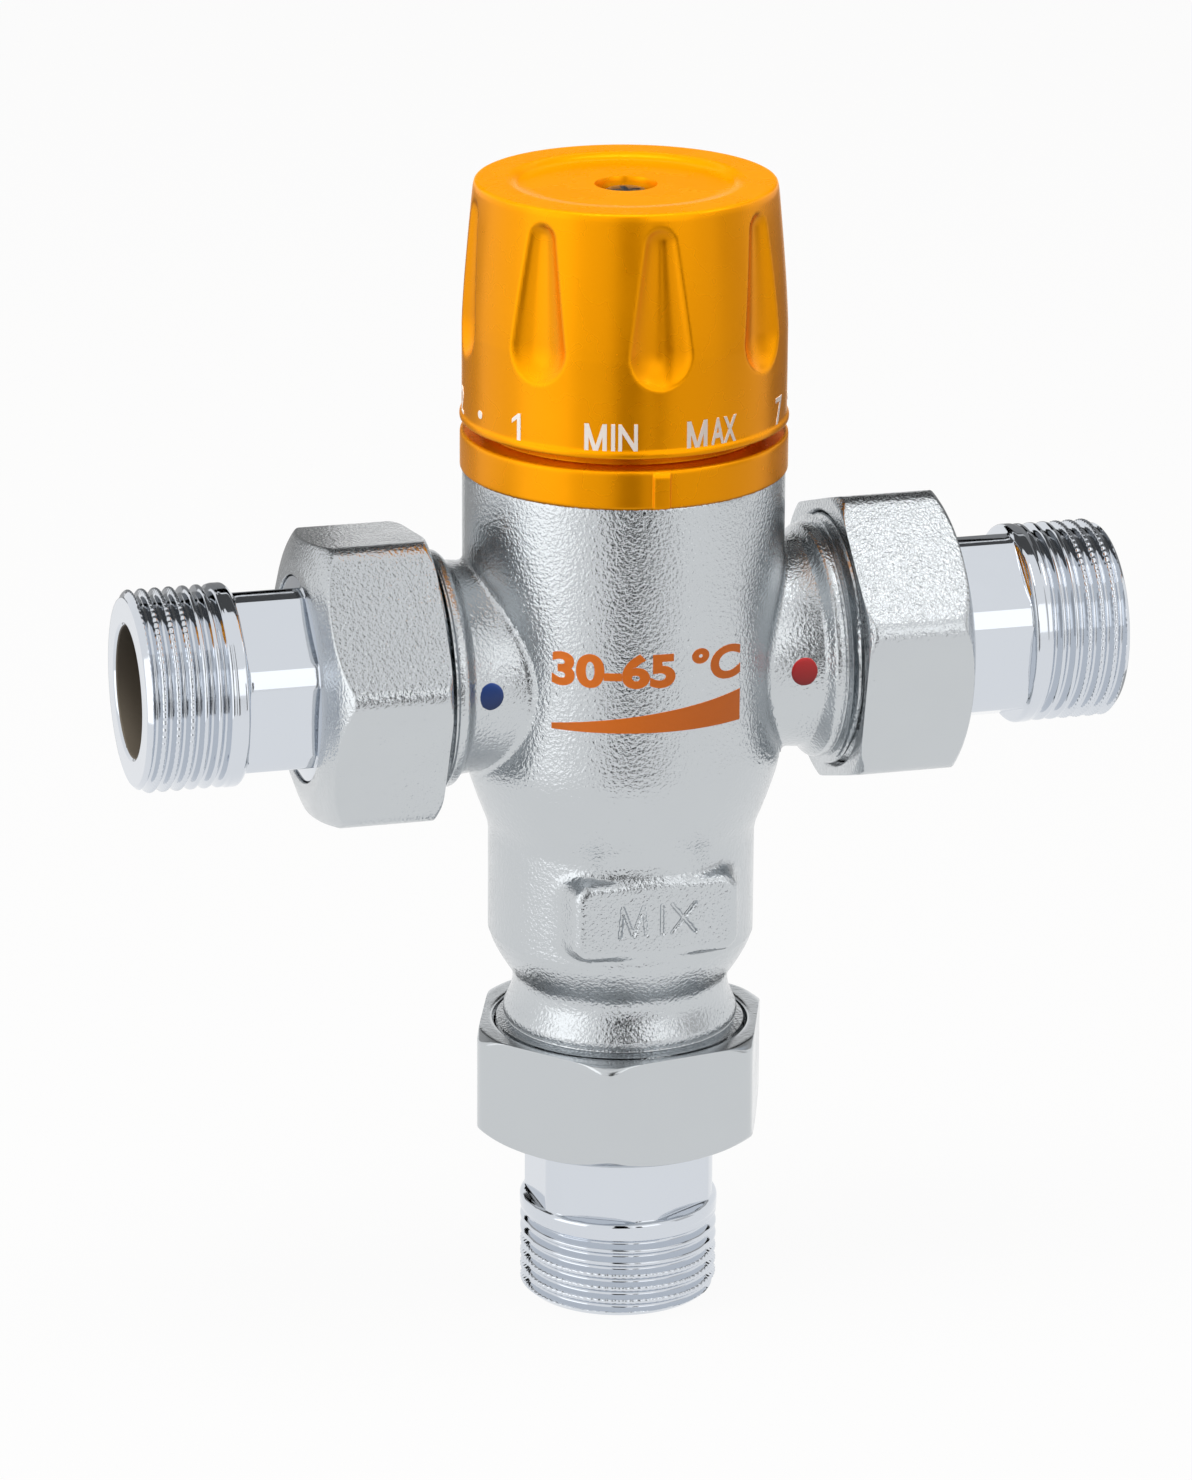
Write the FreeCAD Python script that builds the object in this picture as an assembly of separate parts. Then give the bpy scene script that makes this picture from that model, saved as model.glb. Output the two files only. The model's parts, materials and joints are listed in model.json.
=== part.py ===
import FreeCAD, Part
import math
import os

# Tempering (mixing) valve with three union ends. Millimetres, +Z up.
# The origin is the centre of the mixed outlet's end face. The side ports lie along X,
# cold towards -X and hot towards +X, and the front of the valve faces -Y.

# ---------------------------------------------------------------- driving dimensions

# Fits, each on the radius or between two faces
RUNNING = 0.08            # shaft turning or sliding in its bore
LOOSE = 0.25              # parts that pass each other without touching
THREAD_PLAY = 0.08        # screwed joints, whose threads are drawn plain
SEAL_PLAY = 0.05          # a ring that only just misses the part that slides in it

# Union joints: gasket, tail and nut, the same at all three ports
UNION_THREAD_R = 16.62    # G 1 outside thread on the body
UNION_CORE_R = 15.14      # root of the nut's thread, which the tail's flange passes
GASKET_THICKNESS = 2.0
GASKET_BORE_R = 9.2
FLANGE_THICKNESS = 2.6
NUT_LENGTH = 16.0
NUT_ACROSS_FLATS = 36.7
NUT_CORNER_ROUND = 1.2
NUT_SHOULDER = 2.3        # the inward lip that pulls the flange
NUT_FACE_R = 18.1         # circle left by the chamfer on the body's side
NUT_CHAMFER_LENGTH = 2.4
NUT_NOSE_R = 16.9         # circle left by the domed end on the tail's side
NUT_NOSE_LENGTH = 5.0

# Tail: flange, wrench flats, collar and G 3/4 thread
TAIL_LENGTH = 27.4
TAIL_BORE_R = 8.6
TAIL_THREAD_R = 13.22
TAIL_THREAD_LENGTH = 11.6
TAIL_END_CHAMFER = 0.8
TAIL_SHANK_R = 13.45      # plain part that the nut turns on
TAIL_BAR_R = 12.75        # round bar left at the corners between the flats
TAIL_ACROSS_FLATS = 23.4
TAIL_COLLAR_R = 13.4
TAIL_COLLAR_LENGTH = 3.3
FLATS_BITE = 1.2          # how far the flats run into the collar
FLATS_RUNOUT = 1.3        # length of the sloping end of each flat
FLATS = 6

# Strainer basket in each inlet tail
STRAINER_RIM_R = 10.4
STRAINER_RIM = 1.0
STRAINER_R = 8.25
STRAINER_WALL = 0.45
STRAINER_LENGTH = 13.0
STRAINER_SLOTS = 10
STRAINER_SLOT_WIDTH = 2.2
STRAINER_LAND = 1.6       # solid band left at each end of the slots

# Body, heights counted from the side ports' axis
LOWER_FACE = 59.7         # crossing down to the end of the mixed port
BODY_TOP = 25.9
BARREL_R = 21.1
BARREL_BOTTOM = -12.5     # where the barrel starts to draw in
BARREL_STEP = 3.45        # from the barrel in to the lower barrel
LOWER_TOP = -23.4
LOWER_BOTTOM = -37.0
MIX_NECK_R = 14.4
MIX_NECK_Z = -45.2
SIDE_NECK_R = 13.9
SIDE_NECK_LENGTH = 15.9   # from the barrel's skin to the end of a side port
SIDE_NECK_PLAIN = 2.5     # from the barrel's skin to the slope of the collar
NECK_FILLET = 2.3
COLLAR_R = 15.6
COLLAR_WIDTH = 1.2
RELIEF_R = 15.2           # groove between a collar and its thread
RELIEF_WIDTH = 0.6
BODY_THREAD = 10.4        # length of the union thread on a side port
THREAD_CHAMFER = 0.8
MIX_THREAD = 9.3          # length of the union thread on the mixed port

# Flat pad on the front of the lower barrel
PAD_PROUD = 0.3           # face of the pad beyond the lower barrel's front
PAD_ROOT = 9.95           # depth of the pad's root behind its face
PAD_HALF_WIDTH = 10.9
PAD_HALF_HEIGHT = 5.1
PAD_Z = -31.0
PAD_CORNER_R = 2.2
PAD_DRAFT = 0.24          # growth per millimetre behind the face
PAD_EDGE_R = 0.7

# Coloured dots let into the front of the side necks
DOT_R = 1.95
DOT_DEPTH = 0.9
DOT_PROUD = 0.12
COLD_DOT_OUT = 0.7        # centre of a dot beyond the barrel's skin
HOT_DOT_OUT = -0.2
DOT_Z = 0.1

# Water ways in the body
PORT_BORE_R = 9.8
PORT_BORE_DEPTH = 18.5    # length of a side bore from its port's end face
RING_CHAMBER_R = 15.6     # hot and cold ring chambers round the spool
LAND_HALF = 2.0           # half the height of the land between the two chambers
CHAMBER_TOP = 12.5
SLOT_HALF_WIDTH = 7.0     # opening from a side bore to its ring chamber
SLOT_REACH = 4.0          # how far that opening runs into the ring chamber
COLD_SLOT_DROP = 1.5      # top of the cold opening below the side bore's top
CHAMBER_SLOPE = 2.0       # height of the slopes at the mixing chamber's two ends
SEAT_BORE_R = 10.2
SEAT_RING = 3.2
MIX_CHAMBER_R = 13.2
MIX_CHAMBER_BOTTOM = -30.0
SPRING_SEAT_THICKNESS = 1.6
SPRING_SEAT_HOLES = 6
SPRING_SEAT_HOLE_R = 1.3
SPRING_SEAT_BORE_R = 3.9
OUTLET_BORE_R = 8.6

# Regulating spool and wax element
SPOOL_R = 12.0
SPOOL_WALL = 1.2
SPOOL_HALF = 8.3
SPOOL_WEB = 2.0
WEB_HUB_R = 8.3
WEB_SLOTS = 4
WEB_SLOT_DEG = 66.0
COLD_GAP = 1.6            # spool to cold seat at rest
HOT_GAP = 2.5             # spool to hot seat at rest
SEAL_RING_R = 0.9
BULB_R = 5.4
BULB_LENGTH = 18.0
BULB_NOSE = 1.5           # chamfer round the bulb's end
ELEMENT_FLANGE_R = 7.0
ELEMENT_FLANGE = 2.0
GUIDE_R = 4.0
GUIDE_LENGTH = 10.0
PIN_R = 1.5
PIN_SHOWN = 4.4           # bare pin between the guide and the thrust cap
PIN_DEPTH = 8.0
RETURN_WIRE_R = 0.6
RETURN_MEAN_R = 7.2
RETURN_TURNS = 6.0

# Bonnet
BONNET_R = 16.5
BONNET_FLANGE_R = 14.0
BONNET_FLANGE = 2.2
BONNET_NECK_R = 12.0
BONNET_TOP = 40.0
BONNET_ROOF = 3.0
BONNET_CHAMFER = 0.6
SEAT_TUBE_R = 12.2
GUIDE_BORE_R = 9.0
SEAT_TUBE_BORE_R = 9.9
SEAT_TUBE_TOP = 14.5
BONNET_RING_Z = 17.0
BONNET_RING_R = 0.9
KEY_WIDTH = 2.8
KEY_HEIGHT = 1.1

# Adjusting nut, thrust cap and overtravel spring
SPINDLE_THREAD_R = 4.0
SPINDLE_THREAD_END = 22.6
ADJUSTER_TOP = 33.0
ADJUSTER_ROOF = 7.0
ADJUSTER_WALL = 1.7
CAP_THICKNESS = 3.0
CLIP_THICKNESS = 0.9
CLIP_RADIAL = 1.3
CLIP_BITE = 0.5           # depth of the clip's groove in the cup
CLIP_GAP_DEG = 40.0
CUP_LIP = 0.8
OVERTRAVEL_WIRE_R = 0.75
OVERTRAVEL_MEAN_R = 5.6
OVERTRAVEL_TURNS = 2.6

# Spindle
SPINDLE_R = 4.5
SPINDLE_COLLAR_R = 7.4
SPINDLE_COLLAR = 2.0
SPINDLE_RING_R = 0.42
SPLINE_R = 4.2
SPLINES = 12
SPLINE_DEPTH = 0.35
SPLINE_LEAD = 0.4         # chamfer on the spindle's top
THREAD_LEAD = 0.5         # chamfer on its thread
SCREW_CORE_R = 1.5
SCREW_HOLE_DEPTH = 11.0

# Knob
KNOB_BOTTOM = 32.5
KNOB_TOP = 64.0
KNOB_OVERHANG = 0.05      # foot of the knob beyond the index ring
KNOB_WAIST_Z = 45.0
KNOB_TAPER = 1.5          # how much the side draws in from the waist to the top
KNOB_EDGE = 0.7
KNOB_LIP = 0.7            # height of the lip round the foot
KNOB_LIP_PROUD = 0.3
KNOB_SKIRT_WALL = 2.95    # at the foot
KNOB_UPPER_WALL = 4.25    # above the step
KNOB_STEP_Z = 40.0
KNOB_ROOF = 3.6
KNOB_HUB_R = 7.2
KNOB_HUB_BOTTOM = 44.0
KNOB_RECESS_R = 14.0
KNOB_RECESS = 0.6
KNOB_HOLE_R = 3.9
KNOB_HOLE_DEPTH = 3.0
KNOB_WEB = 1.9
FLUTES = 8
FLUTE_FIRST_DEG = -3.0
FLUTE_LOW_RISE = 1.0      # middle of a flute's lower ball above the waist
FLUTE_LOW_R = 6.36
FLUTE_LOW_DEPTH = 1.9
FLUTE_HIGH_DROP = 3.8     # middle of its upper ball below the top
FLUTE_HIGH_R = 2.9
FLUTE_HIGH_DEPTH = 0.95

# Knob screw
SCREW_HEAD_R = 3.3
SCREW_HEAD = 2.2
SCREW_LENGTH = 11.5
SCREW_R = 1.45
SCREW_SLOT_ARM = 1.9      # cross recess
SCREW_SLOT_WIDTH = 0.8
SCREW_SLOT_DEPTH = 1.1

# Index ring
INDEX_OVERHANG = 0.3      # ring beyond the barrel that it stands on
INDEX_HEIGHT = 5.0
INDEX_SPIGOT = 3.0
INDEX_SPIGOT_PLAY = 0.3   # spigot inside the knob's skirt
INDEX_RIB_DEG = -2.8
INDEX_RIB_WIDTH = 2.0
INDEX_RIB_PROUD = 0.45
INDEX_RIB_ROOT = 3.55     # depth of the rib's root inside the ring
INDEX_EDGE_R = 0.4

# Check valves
CAGE_R = 9.7
CAGE_WALL = 1.3
CAGE_LENGTH = 15.0
CAGE_RIM_R = 11.0
CAGE_RIM = 1.2
CAGE_SEAT_R = 5.6
CAGE_SEAT = 4.0
CAGE_HUB_R = 2.8
CAGE_HUB = 2.6
CAGE_SPOKES = 3
SPOKE_WIDTH = 1.6
POPPET_R = 7.0
POPPET_THICKNESS = 1.6
STEM_R = 1.3
STEM_BEYOND_HUB = 0.4     # the stem's end stands this far past the cage
CHECK_GAP = 0.1           # poppet to seat when shut
CHECK_WIRE_R = 0.3
CHECK_MEAN_R = 3.0
CHECK_TURNS = 4.0

# Springs are drawn with straight lengths of six-sided wire
COIL_STEPS = 12           # lengths in one turn
WIRE_SIDES = 6

# How the hexagons happen to stand, in degrees from the front
COLD_NUT_DEG = 7.4
HOT_NUT_DEG = 18.0
MIX_NUT_DEG = -19.8
COLD_TAIL_DEG = 18.6
HOT_TAIL_DEG = 21.0
MIX_TAIL_DEG = 1.3

# ---------------------------------------------------------------- sizes that follow

PORT_HEIGHT = LOWER_FACE + GASKET_THICKNESS + TAIL_LENGTH
LOWER_R = BARREL_R - BARREL_STEP
SIDE_FACE = BARREL_R + SIDE_NECK_LENGTH   # side-port axis crossing to the end of a side port
SIDE_NECK_END = BARREL_R + SIDE_NECK_PLAIN
PORT_BORE_END = SIDE_FACE - PORT_BORE_DEPTH
PAD_FACE_Y = LOWER_R + PAD_PROUD
PAD_ROOT_Y = PAD_FACE_Y - PAD_ROOT
COLD_DOT_X = -BARREL_R - COLD_DOT_OUT
HOT_DOT_X = BARREL_R + HOT_DOT_OUT
INDEX_R = BARREL_R + INDEX_OVERHANG
KNOB_FOOT_R = INDEX_R + KNOB_OVERHANG
KNOB_R = KNOB_FOOT_R - KNOB_LIP_PROUD
KNOB_SHOULDER_R = KNOB_R - KNOB_TAPER
KNOB_SKIRT_BORE_R = KNOB_FOOT_R - KNOB_SKIRT_WALL
KNOB_UPPER_BORE_R = KNOB_R - KNOB_UPPER_WALL
INDEX_SPIGOT_R = KNOB_SKIRT_BORE_R - INDEX_SPIGOT_PLAY
FLANGE_R = UNION_CORE_R - RUNNING
NUT_HOLE_R = TAIL_SHANK_R + LOOSE
NUT_START = GASKET_THICKNESS + FLANGE_THICKNESS + NUT_SHOULDER - NUT_LENGTH
COLLAR_END = TAIL_LENGTH - TAIL_THREAD_LENGTH
COLLAR_START = COLLAR_END - TAIL_COLLAR_LENGTH
HOT_SEAT_Z = -SPOOL_HALF - HOT_GAP
COLD_SEAT_Z = SPOOL_HALF + COLD_GAP
SPRING_SEAT_BOTTOM = MIX_CHAMBER_BOTTOM - SPRING_SEAT_THICKNESS
GUIDE_TOP = ELEMENT_FLANGE + GUIDE_LENGTH
CAP_BOTTOM = GUIDE_TOP + PIN_SHOWN
CAP_TOP = CAP_BOTTOM + CAP_THICKNESS
ADJUSTER_R = GUIDE_BORE_R - RUNNING
CUP_R = ADJUSTER_R - ADJUSTER_WALL
CUP_CEILING = ADJUSTER_TOP - ADJUSTER_ROOF
CLIP_BOTTOM = CAP_BOTTOM - CLIP_THICKNESS
CUP_BOTTOM = CLIP_BOTTOM - CUP_LIP
ROOF_BOTTOM = BONNET_TOP - BONNET_ROOF
COLLAR_TOP = ROOF_BOTTOM - RUNNING
SPINDLE_TOP = KNOB_TOP - KNOB_RECESS - KNOB_HOLE_DEPTH - KNOB_WEB - RUNNING
SCREW_SEAT_Z = KNOB_TOP - KNOB_RECESS - KNOB_HOLE_DEPTH
INDEX_TOP = BODY_TOP + INDEX_HEIGHT
KNOB_CEILING = KNOB_TOP - KNOB_RECESS - KNOB_ROOF
FLUTE_LOW_Z = KNOB_WAIST_Z + FLUTE_LOW_RISE
FLUTE_HIGH_Z = KNOB_TOP - FLUTE_HIGH_DROP


# ---------------------------------------------------------------- helpers

def turned(profile, bulges=None):
    """Solid of revolution about Z from (radius, height) corners.

    bulges maps the number of a side to a point that its arc passes through."""
    bulges = bulges or {}
    corners = [FreeCAD.Vector(r, 0, z) for r, z in profile]
    sides = []
    for i, start in enumerate(corners):
        end = corners[(i + 1) % len(corners)]
        if i in bulges:
            r, z = bulges[i]
            sides.append(Part.Arc(start, FreeCAD.Vector(r, 0, z), end).toShape())
        else:
            sides.append(Part.LineSegment(start, end).toShape())
    face = Part.Face(Part.Wire(sides))
    return face.revolve(FreeCAD.Vector(0, 0, 0), FreeCAD.Vector(0, 0, 1), 360)


def tube(outer, inner, low, high):
    return turned([(inner, low), (outer, low), (outer, high), (inner, high)])


def rod(radius, low, high):
    return Part.makeCylinder(radius, high - low, FreeCAD.Vector(0, 0, low))


def about_axis(shape, degrees):
    """A copy turned about Z."""
    copy = shape.copy()
    copy.rotate(FreeCAD.Vector(0, 0, 0), FreeCAD.Vector(0, 0, 1), degrees)
    return copy


def around(shape, count, first=0.0):
    """Copies of a shape spaced evenly about Z, fused into one tool."""
    copies = [about_axis(shape, first + 360.0 * i / count) for i in range(count)]
    return copies[0].multiFuse(copies[1:]) if count > 1 else copies[0]


def lifted(shape, height=PORT_HEIGHT):
    """A copy moved up from the side ports' axis level to its place on the valve."""
    copy = shape.copy()
    copy.translate(FreeCAD.Vector(0, 0, height))
    return copy


def coil(mean_r, wire_r, low, high, turns):
    """Open helical spring between two heights, as short mitred lengths of six-sided wire."""
    rise = high - low - 2 * wire_r
    steps = round(turns * COIL_STEPS)
    path = []
    for i in range(steps + 1):
        angle = 2 * math.pi * turns * i / steps
        path.append(FreeCAD.Vector(mean_r * math.cos(angle), mean_r * math.sin(angle),
                                   low + wire_r + rise * i / steps))
    section = []
    for i in range(WIRE_SIDES + 1):
        angle = 2 * math.pi * (i + 0.5) / WIRE_SIDES
        section.append(path[0] + FreeCAD.Vector(wire_r * math.cos(angle), 0, wire_r * math.sin(angle)))
    sweep = Part.BRepOffsetAPI.MakePipeShell(Part.makePolygon(path))
    sweep.setFrenetMode(False)
    sweep.setTransitionMode(1)
    sweep.add(Part.makePolygon(section))
    sweep.build()
    sweep.makeSolid()
    return sweep.shape()


def round_ring(mean_r, section_r, z):
    """Sealing ring, its round section drawn with eight sides."""
    angles = [math.pi * (i + 0.5) / 4 for i in range(8)]
    return turned([(mean_r + section_r * math.cos(a), z + section_r * math.sin(a)) for a in angles])


class Port:
    """A port's own frame: local Z runs out of the valve and local X faces the front.

    sense is the way a positive angle about local Z turns, seen as in the dimensions:
    up from the front on a side port and towards +X on the mixed port."""

    def __init__(self, name, out, across, reach, sense):
        self.name = name
        self.out = FreeCAD.Vector(*out)
        self.across = FreeCAD.Vector(*across)
        self.reach = reach
        self.sense = sense

    def place(self, shape, outwards=0.0, degrees=0.0):
        """Turn a shape built at a port's end face and carry it to this port."""
        front = FreeCAD.Vector(0, -1, 0)
        start = self.out * (self.reach + outwards)
        turn = FreeCAD.Matrix(
            front.x, self.across.x, self.out.x, start.x,
            front.y, self.across.y, self.out.y, start.y,
            front.z, self.across.z, self.out.z, start.z + PORT_HEIGHT,
            0, 0, 0, 1)
        copy = about_axis(shape, self.sense * degrees)
        copy.transformShape(turn, True)
        return copy


COLD = Port("cold", (-1, 0, 0), (0, 0, 1), SIDE_FACE, 1)
HOT = Port("hot", (1, 0, 0), (0, 0, -1), SIDE_FACE, -1)
MIXED = Port("mixed", (0, 0, -1), (-1, 0, 0), LOWER_FACE, -1)


# ---------------------------------------------------------------- union parts

def union_nut():
    """Hexagon nut: rounded corners, chamfer on one side, domed nose on the other."""
    half = NUT_ACROSS_FLATS / 2
    corner_r = half / math.cos(math.pi / 6)
    corners = [FreeCAD.Vector(corner_r * math.cos(a), corner_r * math.sin(a), NUT_START)
               for a in (math.radians(60 * i) for i in range(7))]
    prism = Part.Face(Part.makePolygon(corners)).extrude(FreeCAD.Vector(0, 0, NUT_LENGTH))
    upright = [e for e in prism.Edges if abs(e.tangentAt(e.FirstParameter).z) > 0.9]
    prism = prism.makeFillet(NUT_CORNER_ROUND, upright)
    end = NUT_START + NUT_LENGTH
    nose_start = end - NUT_NOSE_LENGTH
    middle = (0.62 * corner_r + 0.38 * NUT_NOSE_R, end - 0.36 * NUT_NOSE_LENGTH)
    outside = turned(
        [(0, NUT_START), (NUT_FACE_R, NUT_START), (corner_r, NUT_START + NUT_CHAMFER_LENGTH),
         (corner_r, nose_start), (NUT_NOSE_R, end), (0, end)], {3: middle})
    thread_r = UNION_THREAD_R + THREAD_PLAY
    seat = end - NUT_SHOULDER
    inside = turned(
        [(0, NUT_START), (thread_r + 0.5 * THREAD_CHAMFER, NUT_START),
         (thread_r, NUT_START + THREAD_CHAMFER), (thread_r, GASKET_THICKNESS),
         (UNION_CORE_R, GASKET_THICKNESS), (UNION_CORE_R, seat),
         (NUT_HOLE_R, seat), (NUT_HOLE_R, end), (0, end)])
    return prism.common(outside).cut(inside)


def tail():
    """Union tail: flange, shank, six wrench flats, collar and plain thread cylinder."""
    shank_end = FLANGE_THICKNESS + NUT_SHOULDER + RUNNING
    body = turned(
        [(TAIL_BORE_R, 0), (FLANGE_R, 0), (FLANGE_R, FLANGE_THICKNESS),
         (TAIL_SHANK_R, FLANGE_THICKNESS), (TAIL_SHANK_R, shank_end),
         (TAIL_BAR_R, shank_end + 0.5), (TAIL_BAR_R, COLLAR_START),
         (TAIL_COLLAR_R, COLLAR_START + 0.6), (TAIL_COLLAR_R, COLLAR_END),
         (TAIL_THREAD_R, COLLAR_END + 0.2), (TAIL_THREAD_R, TAIL_LENGTH - TAIL_END_CHAMFER),
         (TAIL_THREAD_R - TAIL_END_CHAMFER, TAIL_LENGTH), (TAIL_BORE_R, TAIL_LENGTH)])
    half = TAIL_ACROSS_FLATS / 2
    deep = TAIL_COLLAR_R + 1
    flat_end = COLLAR_START + FLATS_BITE
    slope = (deep - half) / (TAIL_COLLAR_R - half)
    section = [(half, shank_end + 0.5), (deep, shank_end + 0.5),
               (deep, flat_end + FLATS_RUNOUT * slope), (half, flat_end)]
    points = [FreeCAD.Vector(r, -deep, t) for r, t in section]
    cutter = Part.Face(Part.makePolygon(points + points[:1]))
    cutter = about_axis(cutter.extrude(FreeCAD.Vector(0, 2 * deep, 0)), 30)
    for i in range(FLATS):
        body = body.cut(about_axis(cutter, 60 * i))
    pocket = rod(STRAINER_RIM_R + RUNNING, 0, STRAINER_RIM)
    return body.cut(pocket)


def gasket():
    return tube(FLANGE_R, GASKET_BORE_R, 0, GASKET_THICKNESS)


def strainer():
    """Slotted basket whose rim lies in the tail's pocket."""
    inner = STRAINER_R - STRAINER_WALL
    basket = turned(
        [(0, STRAINER_LENGTH - STRAINER_WALL), (inner, STRAINER_LENGTH - STRAINER_WALL), (inner, 0),
         (STRAINER_RIM_R, 0), (STRAINER_RIM_R, STRAINER_RIM), (STRAINER_R, STRAINER_RIM),
         (STRAINER_R, STRAINER_LENGTH), (0, STRAINER_LENGTH)])
    start = STRAINER_RIM + STRAINER_LAND
    slot = Part.makeBox(STRAINER_R + 1 - 0.5 * inner, STRAINER_SLOT_WIDTH,
                        STRAINER_LENGTH - STRAINER_LAND - start,
                        FreeCAD.Vector(0.5 * inner, -STRAINER_SLOT_WIDTH / 2, start))
    for i in range(STRAINER_SLOTS):
        basket = basket.cut(about_axis(slot, 360.0 * i / STRAINER_SLOTS))
    return basket


# ---------------------------------------------------------------- check valve

HUB_START = CAGE_LENGTH - CAGE_HUB
POPPET_FACE = CAGE_SEAT + CHECK_GAP


def check_cage():
    """Cage pushed into a side bore; built inwards, so depths are negative."""
    inner = CAGE_R - CAGE_WALL
    shell = turned(
        [(CAGE_SEAT_R, 0), (CAGE_RIM_R, 0), (CAGE_RIM_R, -CAGE_RIM), (CAGE_R, -CAGE_RIM),
         (CAGE_R, -CAGE_LENGTH), (inner, -CAGE_LENGTH), (inner, -CAGE_SEAT),
         (CAGE_SEAT_R, -CAGE_SEAT)])
    reach = inner + 0.5 * CAGE_WALL
    spoke = Part.makeBox(reach, SPOKE_WIDTH, CAGE_HUB,
                         FreeCAD.Vector(0, -SPOKE_WIDTH / 2, -CAGE_LENGTH))
    hub = rod(CAGE_HUB_R, -CAGE_LENGTH, -HUB_START).fuse(around(spoke, CAGE_SPOKES))
    bore = rod(STEM_R + RUNNING, -CAGE_LENGTH - 1, -HUB_START + 1)
    return shell.fuse(hub).cut(bore).removeSplitter()


def check_poppet():
    """Domed disc on a stem, shut against the cage's seat."""
    back = POPPET_FACE + POPPET_THICKNESS
    stem_end = CAGE_LENGTH + STEM_BEYOND_HUB
    return turned(
        [(0, -POPPET_FACE + 0.8), (CAGE_SEAT_R - LOOSE, -POPPET_FACE), (POPPET_R, -POPPET_FACE),
         (POPPET_R, -back), (STEM_R, -back), (STEM_R, -stem_end), (0, -stem_end)])


def check_spring():
    return coil(CHECK_MEAN_R, CHECK_WIRE_R, -HUB_START, -POPPET_FACE - POPPET_THICKNESS, CHECK_TURNS)


# ---------------------------------------------------------------- body

def barrel_outside():
    """Barrel, stepped lower barrel, mixed neck and its union thread, about Z."""
    end = -LOWER_FACE
    thread_top = end + MIX_THREAD
    collar_low = thread_top + RELIEF_WIDTH
    collar_top = collar_low + COLLAR_WIDTH
    draw = BARREL_BOTTOM - LOWER_TOP
    step = BARREL_R - LOWER_R
    middle = (LOWER_R + 0.5 * step, LOWER_TOP + 0.40 * draw)
    waist = LOWER_BOTTOM - MIX_NECK_Z
    shoulder = (LOWER_R - 0.62 * (LOWER_R - MIX_NECK_R), LOWER_BOTTOM - 0.58 * waist)
    return turned(
        [(0, BODY_TOP), (BARREL_R, BODY_TOP), (BARREL_R, BARREL_BOTTOM), middle,
         (LOWER_R, LOWER_TOP), (LOWER_R, LOWER_BOTTOM), shoulder, (MIX_NECK_R, MIX_NECK_Z),
         (COLLAR_R, collar_top), (COLLAR_R, collar_low), (RELIEF_R, collar_low),
         (RELIEF_R, thread_top), (UNION_THREAD_R, thread_top),
         (UNION_THREAD_R, end + THREAD_CHAMFER), (UNION_THREAD_R - THREAD_CHAMFER, end), (0, end)],
        {2: (BARREL_R - 0.17 * step, BARREL_BOTTOM - 0.36 * draw),
         3: (LOWER_R + 0.13 * step, LOWER_TOP + 0.17 * draw),
         5: (LOWER_R - 0.19 * (LOWER_R - MIX_NECK_R), LOWER_BOTTOM - 0.33 * waist),
         6: (MIX_NECK_R + 0.10 * (LOWER_R - MIX_NECK_R), MIX_NECK_Z + 0.19 * waist),
         7: (MIX_NECK_R + 0.2 * (COLLAR_R - MIX_NECK_R), MIX_NECK_Z - 0.5 * (MIX_NECK_Z - collar_top))})


def side_neck(port):
    """Solid side neck with its collar, relief and union thread, without its bore."""
    thread_start = SIDE_FACE - BODY_THREAD
    collar_end = thread_start - RELIEF_WIDTH
    collar_start = collar_end - COLLAR_WIDTH
    flare = min(SIDE_NECK_END, collar_start)
    neck = turned(
        [(0, 0), (SIDE_NECK_R, 0), (SIDE_NECK_R, flare), (COLLAR_R, collar_start),
         (COLLAR_R, collar_end), (RELIEF_R, collar_end), (RELIEF_R, thread_start),
         (UNION_THREAD_R, thread_start), (UNION_THREAD_R, SIDE_FACE - THREAD_CHAMFER),
         (UNION_THREAD_R - THREAD_CHAMFER, SIDE_FACE), (0, SIDE_FACE)])
    return port.place(neck, -SIDE_FACE)


def rounded_panel(half_x, half_z, corner, y):
    """Rounded rectangle in a plane of constant Y, as a wire."""
    x, z = half_x - corner, half_z - corner
    mid = corner * math.sqrt(0.5)
    edges = []
    spots = [(1, 1), (-1, 1), (-1, -1), (1, -1)]
    for i, (sx, sz) in enumerate(spots):
        nx, nz = spots[(i + 1) % 4]
        first = (sx * half_x, sz * z) if i % 2 == 0 else (sx * x, sz * half_z)
        last = (sx * x, sz * half_z) if i % 2 == 0 else (sx * half_x, sz * z)
        through = (sx * (x + mid), sz * (z + mid))
        arc = [FreeCAD.Vector(px, y, PAD_Z + pz) for px, pz in (first, through, last)]
        edges.append(Part.Arc(*arc).toShape())
        after = (nx * x, nz * half_z) if i % 2 == 0 else (nx * half_x, nz * z)
        start = FreeCAD.Vector(last[0], y, PAD_Z + last[1])
        edges.append(Part.LineSegment(start, FreeCAD.Vector(after[0], y, PAD_Z + after[1])).toShape())
    return Part.Wire(edges)


def front_pad():
    """Flat drafted pad on the front of the lower barrel."""
    grow = PAD_DRAFT * (PAD_FACE_Y - PAD_ROOT_Y)
    face = rounded_panel(PAD_HALF_WIDTH, PAD_HALF_HEIGHT, PAD_CORNER_R, -PAD_FACE_Y)
    root = rounded_panel(PAD_HALF_WIDTH + grow, PAD_HALF_HEIGHT + grow, PAD_CORNER_R + grow, -PAD_ROOT_Y)
    pad = Part.makeLoft([root, face], True, True)
    rim = [e for e in pad.Edges if abs(e.BoundBox.YMax + PAD_FACE_Y) < 1e-6]
    return pad.makeFillet(min(PAD_EDGE_R, 0.5 * PAD_CORNER_R), rim)


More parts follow.
